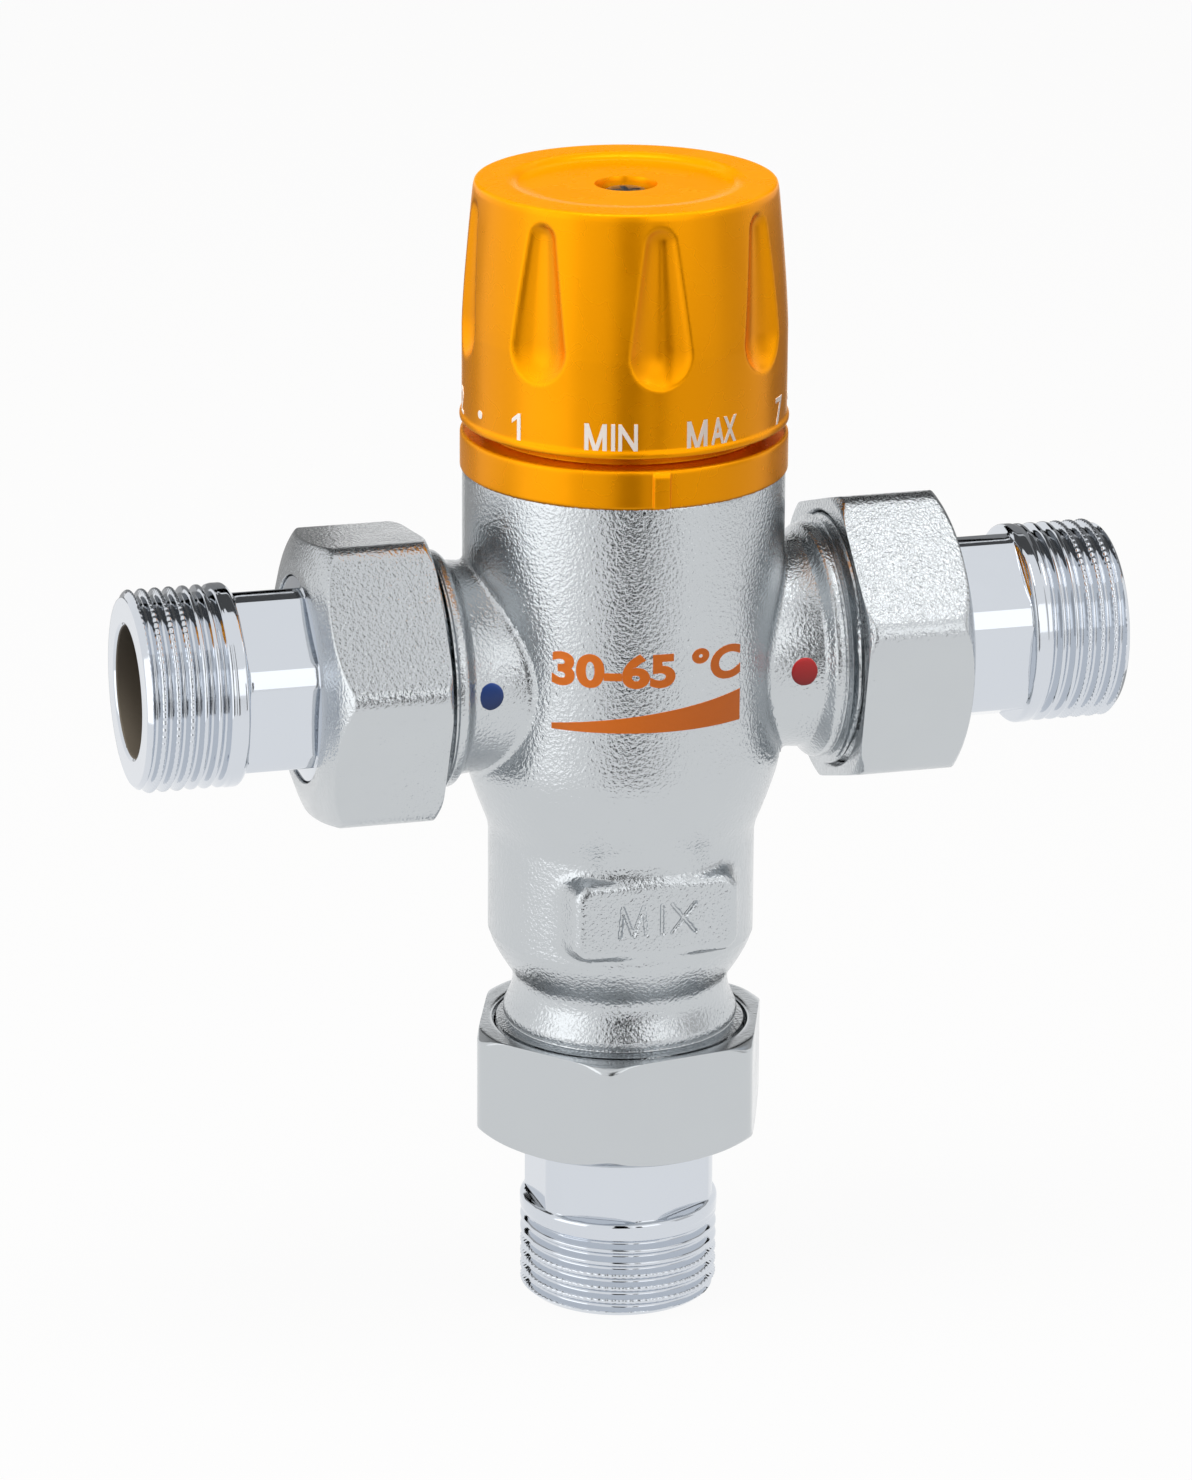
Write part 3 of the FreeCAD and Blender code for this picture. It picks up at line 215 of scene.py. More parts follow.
def rounded(corners, bend=0.3 * MM, steps=4):
    """Closed outline with each corner eased by a short quadratic curve about bend long.

    A corner may carry its own bend as a third value."""
    points = np.array([c[:2] for c in corners], float)
    bends = [c[2] if len(c) > 2 else bend for c in corners]
    out = []
    for k, here in enumerate(points):
        before, after = points[k - 1], points[(k + 1) % len(points)]
        to_before, to_after = before - here, after - here
        lengths = np.hypot(*to_before), np.hypot(*to_after)
        reach = min(bends[k], 0.45 * lengths[0], 0.45 * lengths[1])
        start = here + to_before * reach / lengths[0]
        end = here + to_after * reach / lengths[1]
        t = np.linspace(0, 1, steps + 1)[:, None]
        out.append(quadratic(start, here, end, t))
    return np.vstack(out)


def divided(start, end, step):
    """Points from start up to, but not at, end, evenly spaced and at most step apart."""
    n = max(1, int(math.ceil(np.hypot(*(end - start)) / step)))
    return start + np.arange(n)[:, None] / n * (end - start)


def resampled(outline, step):
    """The same closed outline with no side longer than step."""
    return np.vstack([divided(p, q, step) for p, q in zip(outline, np.roll(outline, -1, axis=0))])


def thinned(outline, inner_r, keep):
    """The same outline with only one in keep of its points left inside a radius."""
    return outline[(outline[:, 0] > inner_r) | (np.arange(len(outline)) % keep == 0)]


def smooth_min(a, b, k):
    """Smaller of two values, with their crossing rounded over a width k."""
    h = np.clip(0.5 + 0.5 * (b - a) / k, 0, 1)
    return b + (a - b) * h - k * h * (1 - h)


def smooth_max(a, b, k):
    """Larger of two values, with their crossing rounded over a width k."""
    return -smooth_min(-a, -b, k)


def smooth_step(x, low, high):
    """0 below low and 1 above high, with 3t^2 - 2t^3 between."""
    t = np.clip((x - low) / (high - low), 0, 1)
    return t * t * (3 - 2 * t)


def full_turn(count):
    """A row of evenly spaced angles once round, from 0."""
    return np.arange(count)[None, :] * (TAU / count)


def turned_points(r, z, theta):
    """Points at radius r and height z, at angle theta from the front towards +X, about Z."""
    r, z, theta = np.broadcast_arrays(r, z, theta)
    return np.stack([r * np.sin(theta), -r * np.cos(theta), z], -1)


def polygon_radius(theta, half, corner, sides=6):
    """Distance to a regular polygon with flats at half and corners rounded by corner."""
    wedge = math.pi / sides
    off = np.abs((theta + wedge) % (2 * wedge) - wedge)
    flat = half / np.cos(off)
    centre = (half - corner) / math.cos(wedge)
    away = wedge - off
    arc = centre * np.cos(away) + np.sqrt(np.maximum(corner ** 2 - (centre * np.sin(away)) ** 2, 0))
    on_arc = half * np.tan(off) > (half - corner) * math.tan(wedge)
    return np.where(on_arc, arc, flat)


def ridge(phase):
    """Rounded thread form: 0 at the crest and 1 at the root, over one turn of phase."""
    saw = np.abs((phase % 1.0) - 0.5) * 2
    return smooth_step(1 - saw, 0.12, 0.88)


class Port:
    """A port's frame: s runs out of the valve from the body's end face, a turns as named in place()."""

    def __init__(self, name, out, reach, sense):
        self.name, self.out, self.reach, self.sense = name, np.array(out, float), reach, sense
        front = np.array([0.0, -1.0, 0.0])
        self.front, self.up = front, np.cross(self.out, front) * sense

    def place(self, r, s, a):
        """Points at radius r, distance s outwards and angle a from the front.

        a turns upwards on a side port and towards +X on the mixed port. Where sense is negative
        the rows come back reversed, which keeps the faces outwards."""
        r, s, a = np.broadcast_arrays(r, s, a)
        base = np.array([0, 0, PORT_Z]) + (self.reach + s)[..., None] * self.out
        points = base + (r * np.cos(a))[..., None] * self.front + (r * np.sin(a))[..., None] * self.up
        return points[::self.sense]


PORTS = (
    Port("cold", (-1, 0, 0), SIDE_FACE, 1),
    Port("hot", (1, 0, 0), SIDE_FACE, -1),
    Port("mixed", (0, 0, -1), PORT_Z - BODY_LOW.z, -1),
)
# how far the wrench that tightened them left the nuts and tails turned
NUT_TURN = {"cold": math.radians(7.4), "hot": math.radians(18.0), "mixed": math.radians(-19.8)}
TAIL_TURN = {"cold": math.radians(18.6), "hot": math.radians(21.0), "mixed": math.radians(1.3)}


# ---------------------------------------------------------------- materials

def empty_tree(owner):
    """Node tree of a material or world, cleared."""
    owner.use_nodes = True
    owner.node_tree.nodes.clear()
    return owner.node_tree


def new_node(tree, kind, links=None, **settings):
    """Add one node, set its sockets and properties, and link sockets from other nodes' outputs.

    In a socket's name an underscore stands for a space."""
    node = tree.nodes.new(kind)
    for key, value in settings.items():
        socket = key.replace("_", " ")
        if socket in node.inputs:
            node.inputs[socket].default_value = value
        else:
            setattr(node, key, value)
    for socket, source in (links or {}).items():
        tree.links.new(source, node.inputs[socket])
    return node


def grained_finish(name, rgb, roughness, grain, depth, strength=1.0, detail=3.0, softness=0.55,
                   patches=None, **shader):
    """Finish whose skin is uneven in two ways, both placed by Object coordinates.

    Noise with features about grain across raises the surface by up to depth, both in metres. Wider
    noise, given by patches as (size, detail, less, more), moves the roughness between
    roughness - less and roughness + more."""
    material = bpy.data.materials.new(name)
    tree = empty_tree(material)
    place = {"Vector": new_node(tree, "ShaderNodeTexCoord").outputs["Object"]}
    skin = new_node(tree, "ShaderNodeTexNoise", place, Scale=1 / grain, Detail=detail, Roughness=softness)
    relief = new_node(tree, "ShaderNodeBump", {"Height": skin.outputs["Fac"]}, Strength=strength,
                      Distance=depth)
    links = {"Normal": relief.outputs["Normal"]}
    if patches:
        size, patch_detail, less, more = patches
        wide = new_node(tree, "ShaderNodeTexNoise", place, Scale=1 / size, Detail=patch_detail, Roughness=0.55)
        # noise keeps mostly between 0.3 and 0.7
        wander = new_node(tree, "ShaderNodeMapRange", {"Value": wide.outputs["Fac"]}, From_Min=0.3,
                          From_Max=0.7, To_Min=roughness - less, To_Max=roughness + more)
        links["Roughness"] = wander.outputs["Result"]
    surface = new_node(tree, "ShaderNodeBsdfPrincipled", links, Base_Color=(*rgb, 1), Roughness=roughness,
                       **shader)
    new_node(tree, "ShaderNodeOutputMaterial", {"Surface": surface.outputs["BSDF"]})
    return material


def plated_casting(name, rgb, grain, depth, roughness):
    """Cast or forged brass under nickel and chrome: grey metal whose pebbled skin breaks every
    reflection into sparks. The grain is the size of the mould's sand or the blasting grit."""
    return grained_finish(name, rgb, roughness, grain, depth, detail=2.5, softness=0.5,
                          patches=(6 * MM, 2.0, 0.04, 0.05), Metallic=1.0)


def turned_plating(name, rgb, roughness):
    """Brass turned on a lathe and nickel plated: near mirror, with only a trace of unevenness.

    Real tool lines are about 0.1 mm apart, too fine to show, so they are drawn 0.5 mm apart."""
    return grained_finish(name, rgb, roughness, 0.5 * MM, 0.004 * MM, 0.5, detail=1.0,
                          patches=(5 * MM, 3.0, 0.02, 0.03), Metallic=1.0)


def moulded_plastic(name, rgb, roughness, grain=0.35 * MM, depth=0.006 * MM, **shader):
    """Moulded plastic, print or enamel: satin gloss with the faint skin of its mould or screen."""
    return grained_finish(name, rgb, roughness, grain, depth, 0.6, patches=(7 * MM, 3.0, 0.03, 0.05),
                          **shader)


def bare_metal(name, rgb, roughness, metallic=1.0):
    """Machined metal left bare inside the valve; less than fully metallic where it has gone dull."""
    return grained_finish(name, rgb, roughness, 0.4 * MM, 0.008 * MM, 0.5, Metallic=metallic)


MATERIALS = {}


class VALVE_OT_finishes(bpy.types.Operator):
    """Make every material and give the inner pieces theirs"""
    bl_idname = "valve.finishes"
    bl_label = "Finishes"

    def execute(self, context):
        c = context.scene.valve_colours
        MATERIALS.update({
            # castings and forgings: pale grey with a coarse sparkle
            "body_plated": plated_casting("plated_cast_brass", c.plating, 0.44 * MM, 0.125 * MM, 0.115),
            "nut_plated": plated_casting("plated_forged_brass", c.plating, 0.42 * MM, 0.12 * MM, 0.125),
            # a nut forged in a smoother die: soft, even reflections
            "smooth_nut": plated_casting("plated_brass_fine", c.plating, 0.5 * MM, 0.016 * MM, 0.16),
            "tail_plated": turned_plating("turned_nickel_plating", c.bright, 0.07),
            # ABS with metallic pigment: deep orange sides that turn yellow in the highlights
            "knob_plastic": moulded_plastic("moulded_abs_orange", c.knob, 0.26, 0.5 * MM, 0.003 * MM,
                                            Metallic=0.5, Specular_Tint=(1.0, 0.66, 0.1, 1)),
            # printed ink: flat and opaque, and on the casting broken by its grain
            "mark_paint": moulded_plastic("white_pad_print", c.marks, 0.5),
            "print_paint": moulded_plastic("orange_pad_print", c.print_orange, 0.45, 0.75 * MM, 0.05 * MM),
            # stoved enamel: glossy and deep
            "dot_blue": moulded_plastic("blue_enamel", c.cold, 0.3),
            "dot_red": moulded_plastic("red_enamel", c.hot, 0.3),
            # bare metals inside: dull in the bores, satin on turned, drawn and plated pieces
            "bore_brass": bare_metal("dull_bored_brass", linear("#655F54"), 0.5, 0.4),
            "brass": bare_metal("turned_brass", linear("#D9B56A"), 0.3),
            "stainless": bare_metal("stainless_steel", linear("#C9CACC"), 0.3),
            "screw_steel": bare_metal("zinc_plated_steel", linear("#CFD2D6"), 0.3),
            "copper": bare_metal("copper_capsule", linear("#C98A63"), 0.3),
            # soft and moulded pieces inside: black rubber, fibrous green-grey sheet, satin black acetal
            "seal_rubber": moulded_plastic("epdm_rubber", linear("#161616"), 0.6),
            "gasket_fibre": moulded_plastic("gasket_fibre", linear("#55645C"), 0.8, 0.3 * MM, 0.03 * MM),
            "cage_plastic": moulded_plastic("black_acetal", linear("#1B1B1D"), 0.4),
        })
        for part in frame["record"]["subparts"]:
            mesh = frame["nodes"][part["node"]].data
            mesh.materials.clear()
            mesh.materials.append(MATERIALS[part["material_slot"]])
        return {"FINISHED"}


# ---------------------------------------------------------------- body

def body_profile(s, u):
    """Closed outline of the barrel casting, outside from top to bottom and back up inside."""
    top, end = BODY_HIGH.z, BODY_LOW.z

    def z(mm):
        """Height above the side ports' axis."""
        return PORT_Z + mm * MM

    outside = [
        (s.barrel_r, top, 0.4 * MM), (s.barrel_r, z(-13.5), 5 * MM),
        (s.lower_r + 1.25 * MM, z(-19.9), 2.4 * MM), (s.lower_r, z(-22.9), 2.4 * MM),
        (s.lower_r, z(-38.2), 3 * MM), (s.lower_r - 1.6 * MM, z(-41.3), 2.4 * MM),
        (s.mix_neck_r - 0.1 * MM, z(-43.9), 2.2 * MM), (s.mix_neck_r, z(-46.2), 1.6 * MM),
        (s.collar_r, z(-48.9), 0.7 * MM), (s.collar_r, end + 9.9 * MM),
        (s.collar_r - 0.45 * MM, end + 9.8 * MM), (s.collar_r - 0.45 * MM, end + 9.3 * MM),
        (u.thread_r, end + 9.0 * MM), (u.thread_r, end + 0.8 * MM), (s.collar_r + 0.3 * MM, end)]
    inside = [(BORE_R, end), (BORE_R, z(-31.6)), (10.2 * MM, z(-31.6)), (10.2 * MM, z(-30)),
              (13.2 * MM, z(-28)), (13.2 * MM, z(-16)), (15.6 * MM, z(-10)), (16.5 * MM, z(12.5)),
              (16.5 * MM, top)]
    outline = resampled(rounded(outside + inside, 0.15 * MM), 0.55 * MM)
    # the inside is hidden and needs few rows
    return thinned(outline, 13.3 * MM, 4)


def stroke_distance(x, z, strokes):
    """Distance from each point to the nearest of a set of straight strokes.

    t is the share of a stroke's length at which the point's foot falls, kept within the stroke."""
    best = np.full(np.broadcast(x, z).shape, 1.0)
    for (x0, z0), (x1, z1) in strokes:
        dx, dz = x1 - x0, z1 - z0
        t = np.clip(((x - x0) * dx + (z - z0) * dz) / (dx * dx + dz * dz), 0, 1)
        best = np.minimum(best, np.hypot(x - x0 - t * dx, z - z0 - t * dz))
    return best


def mix_strokes():
    """Strokes of the three block letters on the pad: M, I and X, centred on the pad."""
    h = 1.95 * MM
    m, i, x = -3.35 * MM, 0.55 * MM, 3.5 * MM
    half_m, half_x = 1.75 * MM, 1.55 * MM
    return [((m - half_m, -h), (m - 0.8 * half_m, h)), ((m - 0.8 * half_m, h), (m, -h)),
            ((m, -h), (m + 0.8 * half_m, h)), ((m + 0.8 * half_m, h), (m + half_m, -h)),
            ((i, -h), (i, h)),
            ((x - half_x, -h), (x + half_x, h)), ((x - half_x, h), (x + half_x, -h))]


def padded_radius(s, base, z, theta):
    """Outermost radius of the barrel joined with the front pad, found by halving.

    The pad is a flat face with drafted walls round a rounded rectangle; its letters are sunk into
    the face. Barrel and pad meet in a smooth minimum of their signed distances."""
    zone = (np.abs(theta) < 0.95) & (np.abs(z - PORT_Z + s.pad_drop) < 9 * MM) & (base > 15 * MM)
    b, zz, th = [np.broadcast_to(v, zone.shape)[zone] for v in (base, z, theta)]
    dz = zz - PORT_Z + s.pad_drop
    corner, draft = 2.2 * MM, 0.24

    def outside(r):
        """Signed distance to the body at radius r: negative inside."""
        x, depth = r * np.sin(th), s.pad_face - r * np.cos(th)
        qx = np.abs(x) - s.pad_half_width + corner
        qz = np.abs(dz) - s.pad_half_height + corner
        panel = np.hypot(np.maximum(qx, 0), np.maximum(qz, 0)) + np.minimum(np.maximum(qx, qz), 0) - corner
        wall = (panel - draft * depth) / math.hypot(1, draft)
        letters = 0.42 * MM * (1 - smooth_step(stroke_distance(x, dz, mix_strokes()), 0.12 * MM, 0.34 * MM))
        pad = smooth_max(letters - depth, wall, 1.1 * MM)
        return smooth_min(pad, r - b, 0.9 * MM)

    low, high = b - 1 * MM, b + 6 * MM
    for _ in range(26):     # 7 mm halved 26 times is far below any rounding
        mid = 0.5 * (low + high)
        inside = outside(mid) < 0
        low, high = np.where(inside, mid, low), np.where(inside, high, mid)
    radius = np.array(np.broadcast_to(base, zone.shape))
    radius[zone] = low
    return radius


def neck_points(s, u, port):
    """A side neck: cast blend off the barrel, collar, thread start, end face and bore.

    Each column is a profile at one angle round the port; its first rows leave the barrel
    along its surface and turn on to the neck by a quadratic curve."""
    a = full_turn(180)
    rn, f = s.side_neck_r, s.blend

    def barrel_x(rho):
        """Distance from the YZ plane of the barrel's surface, rho from the port's axis."""
        y, z = rho * np.cos(a), rho * np.sin(a)
        r = s.barrel_r - 0.9 * MM * smooth_step(-z, 12.5 * MM, 17.5 * MM)
        return np.sqrt(np.maximum(r ** 2 - y ** 2, 0))

    def at(x, r):
        """One (distance, radius) pair for each angle round the port."""
        return np.stack([x, np.broadcast_to(r, a.shape)], -1)

    start, corner = at(barrel_x(rn + f) - 0.02 * MM, rn + f), at(barrel_x(rn), rn)
    limit = 23.4 * MM       # the blend never reaches past here
    end = at(np.minimum(corner[..., 0] + f * 1.1, limit), rn)
    t = np.linspace(0, 1, 15)[:, None, None]
    blend = quadratic(start, corner, end, t)
    tip = SIDE_FACE
    rest = rounded([
        (17 * MM, rn - 3 * MM), (17.5 * MM, rn), (23.5 * MM, rn, 1.4 * MM), (24.9 * MM, s.collar_r, 0.6 * MM),
        (26.0 * MM, s.collar_r), (26.05 * MM, s.collar_r - 0.4 * MM), (26.5 * MM, s.collar_r - 0.4 * MM),
        (26.7 * MM, u.thread_r), (tip - 0.8 * MM, u.thread_r), (tip, s.collar_r + 0.3 * MM),
        (tip, 9.8 * MM), (17 * MM, 9.8 * MM)], 0.12 * MM)
    rest = resampled(rest, 0.3 * MM)
    # the part of the outline from where the blend ends, round the end face, to deep in the bore
    rest = np.roll(rest, -int(np.argmax(rest[:, 0] > limit)), axis=0)
    rest = rest[:int(np.argmin(rest[:, 0])) + 1]
    along = np.concatenate([blend, np.broadcast_to(rest[:, None, :], (len(rest), a.shape[1], 2))])
    x, r = along[..., 0], along[..., 1]
    in_thread = (x > 26.7 * MM) & (x < tip - 0.5 * MM) & (r > 15 * MM)
    turn = ridge(x / u.thread_pitch + port.sense * a / TAU)
    r = np.where(in_thread, r - THREAD_DEPTH * turn, r)
    return port.place(r, x - port.reach, a)


class VALVE_OT_body(bpy.types.Operator):
    """Cast body: barrel with its pad, and two side necks"""
    bl_idname = "valve.body"
    bl_label = "Body"

    def execute(self, context):
        s, u = context.scene.valve_body_sizes, context.scene.valve_union_sizes
        profile = body_profile(s, u)
        # columns stand closer together across the pad's letters
        inner = np.arange(-20.5, 20.5, 0.4)
        mid = np.concatenate([np.arange(-50, -20.5, 1.0), inner, np.arange(20.5, 50, 1.0)])
        theta = np.radians(np.concatenate([mid, np.arange(50, 310, 3.8)]))
        theta = np.where(theta > math.pi, theta - TAU, theta)[None, :]
        r, z = profile[:, :1], profile[:, 1:]
        # rows stand closer together across the pad
        low, high = PORT_Z - 38 * MM, PORT_Z - 24 * MM
        is_pad = (r[:, 0] > 17 * MM) & (z[:, 0] > low) & (z[:, 0] < high)
        first, last = int(np.argmax(is_pad)), int(len(is_pad) - np.argmax(is_pad[::-1]))
        fine = np.arange(z[first, 0], z[last - 1, 0], -0.14 * MM)[:, None]
        z = np.vstack([z[:first], fine, z[last:]])
        r = np.vstack([r[:first], np.full_like(fine, s.lower_r), r[last:]])
        radius = padded_radius(s, r, z, theta)
        threaded = (z < BODY_LOW.z + 9.0 * MM) & (r > 15.9 * MM)
        turn = ridge(z / u.thread_pitch + theta / TAU)
        radius = np.where(threaded, radius - THREAD_DEPTH * turn, radius)
        # hidden inside each side neck the wall is pressed in, which leaves the check valve room to open
        from_port = np.hypot(radius * np.cos(theta), z - PORT_Z)
        press = 1 - smooth_step(from_port, 10.2 * MM, 12.4 * MM)
        sunk = np.minimum(radius, s.barrel_r - 4.3 * MM * press)
        radius = np.where((np.abs(np.sin(theta)) > 0.7) & (radius > 17 * MM), sunk, radius)
        barrel = grid_object("barrel", turned_points(radius, z, theta)[::-1], material=MATERIALS["body_plated"])
        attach(barrel, "valve")
        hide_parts("valve_body")
        for port in PORTS[:2]:
            neck = grid_object("side_neck_" + port.name, neck_points(s, u, port),
                               material=MATERIALS["body_plated"])
            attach(neck, "valve")
        return {"FINISHED"}


# ---------------------------------------------------------------- unions

class VALVE_OT_nuts(bpy.types.Operator):
    """Three hexagonal union nuts with a chamfered and a domed end"""
    bl_idname = "valve.nuts"
    bl_label = "Union nuts"

    def execute(self, context):
        u = context.scene.valve_union_sizes
        half = u.nut_flats / 2
        start, end = -9.1 * MM, 6.9 * MM    # from the body's end face
        corner_r = half / math.cos(math.pi / 6)
        chamfer = [(19.7 * MM, start, 0.4 * MM), (corner_r + 0.5 * MM, start + 1.5 * MM, 0.3 * MM)]
        dome = [(corner_r + 0.3 * MM, end - 3.6 * MM, 1.0 * MM), (19.1 * MM, end - 1.4 * MM, 2.2 * MM),
                (15.2 * MM, end, 0.6 * MM)]
        hole = [(13.6 * MM, end, 0.15 * MM), (13.55 * MM, end - 2.3 * MM), (15.2 * MM, end - 2.3 * MM),
                (15.2 * MM, 2 * MM), (16.7 * MM, 2 * MM), (16.7 * MM, start + 0.9 * MM),
                (17.15 * MM, start, 0.3 * MM)]
        outline = chamfer + dome + hole
        profile = resampled(rounded(outline, 0.2 * MM), 0.33 * MM)
        r, s = profile[:, :1], profile[:, 1:]
        a = full_turn(360)
        for port in PORTS:
            hexagon = polygon_radius(a - NUT_TURN[port.name] + math.pi / 6, half, u.nut_corner)
            radius = np.where(r > 16.95 * MM, smooth_min(r, hexagon, 0.35 * MM), r)
            finish = "smooth_nut" if port.name == "mixed" else "nut_plated"
            nut = grid_object("nut_" + port.name, port.place(radius, s, a),
                              material=MATERIALS[finish], sharp=40)
            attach(nut, "valve")
            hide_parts("union_nut_" + port.name)
        return {"FINISHED"}


def tail_profile(u):
    """Closed outline of a union tail; distances run out from the body's end face."""
    bore, end, tr = BORE_R, TAIL_END, u.tail_thread_r
    return rounded([
        (bore, 2 * MM), (15.06 * MM, 2 * MM), (15.06 * MM, 4.6 * MM), (13.45 * MM, 4.6 * MM),
        (13.45 * MM, 6.6 * MM), (u.tail_bar_r, 6.8 * MM), (u.tail_bar_r, 15.8 * MM, 0.15 * MM),
        (13.3 * MM, 16.3 * MM, 0.3 * MM), (13.3 * MM, 17.6 * MM), (tr, TAIL_THREAD_START),
        (tr, end - 0.9 * MM), (tr - 0.95 * MM, end), (bore + 0.4 * MM, end), (bore, end - 0.4 * MM),
        (bore, end - 6 * MM)], 0.15 * MM)


class VALVE_OT_tails(bpy.types.Operator):
    """Three union tails with wrench flats and a serrated pipe thread"""
    bl_idname = "valve.tails"
    bl_label = "Union tails"

    def execute(self, context):
        u = context.scene.valve_union_sizes
        outline = tail_profile(u)
        rows = []
        for p, q in zip(outline, np.roll(outline, -1, axis=0)):
            # rows stand closest on the thread and its shoulder, and far apart in the bore
            on_thread = min(p[1], q[1]) > 15 * MM
            step = 3.0 * MM if p[0] < 11.5 * MM else 0.11 * MM if on_thread else 0.6 * MM
            rows.append(divided(p, q, step))
        profile = np.vstack(rows)
        r, s = profile[:, :1], profile[:, 1:]
        a = full_turn(u.serrations * 4)
        start = TAIL_THREAD_START
        for port in PORTS:
            turned = a - TAIL_TURN[port.name] + math.pi / 6
            off = np.abs((turned + math.pi / 6) % (math.pi / 3) - math.pi / 6)
            # each flat runs into the collar and stops at a steep shoulder with a small root radius
            rise = 2.2 * MM * smooth_step(s, 15.85 * MM, 16.2 * MM)
            flat = (u.tail_flats / 2 + rise) / np.cos(off)
            on_bar = (s > 6.75 * MM) & (s < start) & (r > 11 * MM)
            radius = np.where(on_bar, smooth_min(r, flat, 0.12 * MM), r)
            # the thread's groove runs out into the collar; cosine notches cross its outer crests
            deep = ridge(s / u.tail_pitch + port.sense * a / TAU)
            fade = smooth_step(s, start, start + 1.2 * MM)
            crest = (1 - deep) ** 2
            notch = 0.16 * MM * crest * (0.5 + 0.5 * np.cos(a * u.serrations)) * (s > start + 4.6 * MM)
            cut = u.tail_depth * deep * fade + notch
            outer = (s > start) & (r > 11.9 * MM)
            radius = np.where(outer, np.minimum(radius, u.tail_thread_r - cut), radius)
            tail = grid_object("threaded_tail_" + port.name, port.place(radius, s, a),
                               material=MATERIALS["tail_plated"], sharp=42)
            # the bore isn't reached by the plating and shows dull brass
            mesh = tail.data
            mesh.materials.append(MATERIALS["bore_brass"])
            centre = np.empty(3 * len(mesh.polygons))
            mesh.polygons.foreach_get("center", centre)
            off_axis = np.linalg.norm(np.cross(centre.reshape(-1, 3) - (0, 0, PORT_Z), port.out), axis=1)
            in_bore = off_axis < BORE_R + 0.15 * MM
            mesh.polygons.foreach_set("material_index", in_bore.astype(np.int32))
            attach(tail, "valve")
            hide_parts("tail_" + port.name)
        return {"FINISHED"}


# ---------------------------------------------------------------- knob and ring

def knob_side(s, z):
    """Radius of the knob's side: straight up to its waist, then drawn in towards the top."""
    share = np.clip((z - KNOB_WAIST) / (KNOB_HIGH.z - KNOB_WAIST), 0, 1)
    return s.side_r - (s.side_r - s.shoulder_r) * share ** 1.3


def flute_radius(s, z, theta):
    """Distance from the axis to the nearest flute, or 1 m where there is none.

    A flute is what a ball hollows out as it climbs from low_z to high_z and shrinks from low_r to
    high_r, its centre outside the wall so that it bites 1.9 mm deep below and 0.95 mm above."""
    step = TAU / s.flutes
    off = (theta - s.first_flute + step / 2) % step - step / 2
    low_z, high_z = KNOB_LOW.z + 13.5 * MM, KNOB_LOW.z + 27.7 * MM
    low_r, high_r = 6.36 * MM, 2.9 * MM
    t = np.clip((z - low_z) / (high_z - low_z), 0, 1)
    ball = low_r + (high_r - low_r) * t
    centre = knob_side(s, np.clip(z, low_z, high_z)) - (1.9 - 0.95 * t) * MM + ball
    # the ball's circle at this height, where z may lie beyond the ball's path
    beyond = z - np.clip(z, low_z, high_z)
    circle = np.sqrt(np.maximum(ball ** 2 - beyond ** 2, 0))
    across = centre * np.sin(off)
    near = centre * np.cos(off) - np.sqrt(np.maximum(circle ** 2 - across ** 2, 0))
    return np.where(np.abs(across) < circle, near, 1.0)


class VALVE_OT_knob(bpy.types.Operator):
    """Fluted knob with its dished top"""
    bl_idname = "valve.knob"
    bl_label = "Knob"

    def execute(self, context):
        s = context.scene.valve_knob_sizes
        low, high = KNOB_LOW.z, KNOB_HIGH.z
        side = [(float(knob_side(s, z)), z) for z in np.linspace(KNOB_WAIST, high - 0.9 * MM, 12)]
        outline = [(s.foot_r, low, 0.3 * MM), (s.foot_r, low + 0.7 * MM, 0.25 * MM),
                   (s.side_r, low + 1.1 * MM), *side, (s.shoulder_r - 0.1 * MM, high, 1.1 * MM),
                   (s.recess_r + 0.3 * MM, high, 0.3 * MM), (s.recess_r, high - 0.6 * MM, 0.3 * MM),
                   (s.hole_r, high - 0.6 * MM, 0.3 * MM), (s.hole_r, high - 3.6 * MM),
                   (1.7 * MM, high - 3.6 * MM), (1.7 * MM, high - 5 * MM), (16.9 * MM, high - 5 * MM),
                   (16.9 * MM, low + 8 * MM), (18.5 * MM, low + 7 * MM), (18.5 * MM, low)]
        profile = thinned(resampled(rounded(outline, 0.2 * MM), 0.36 * MM), 18.6 * MM, 4)
        r, z = profile[:, :1], profile[:, 1:]
        theta = full_turn(480)
        flute = flute_radius(s, z, theta)
        radius = np.where((r > 19.2 * MM) & (z < high - 0.2 * MM), smooth_min(r, flute, 0.2 * MM), r)
        knob = grid_object("knob_shell", turned_points(radius, z, theta), material=MATERIALS["knob_plastic"],
                           sharp=50)
        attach(knob, "knob_and_spindle")
        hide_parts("knob")
        return {"FINISHED"}


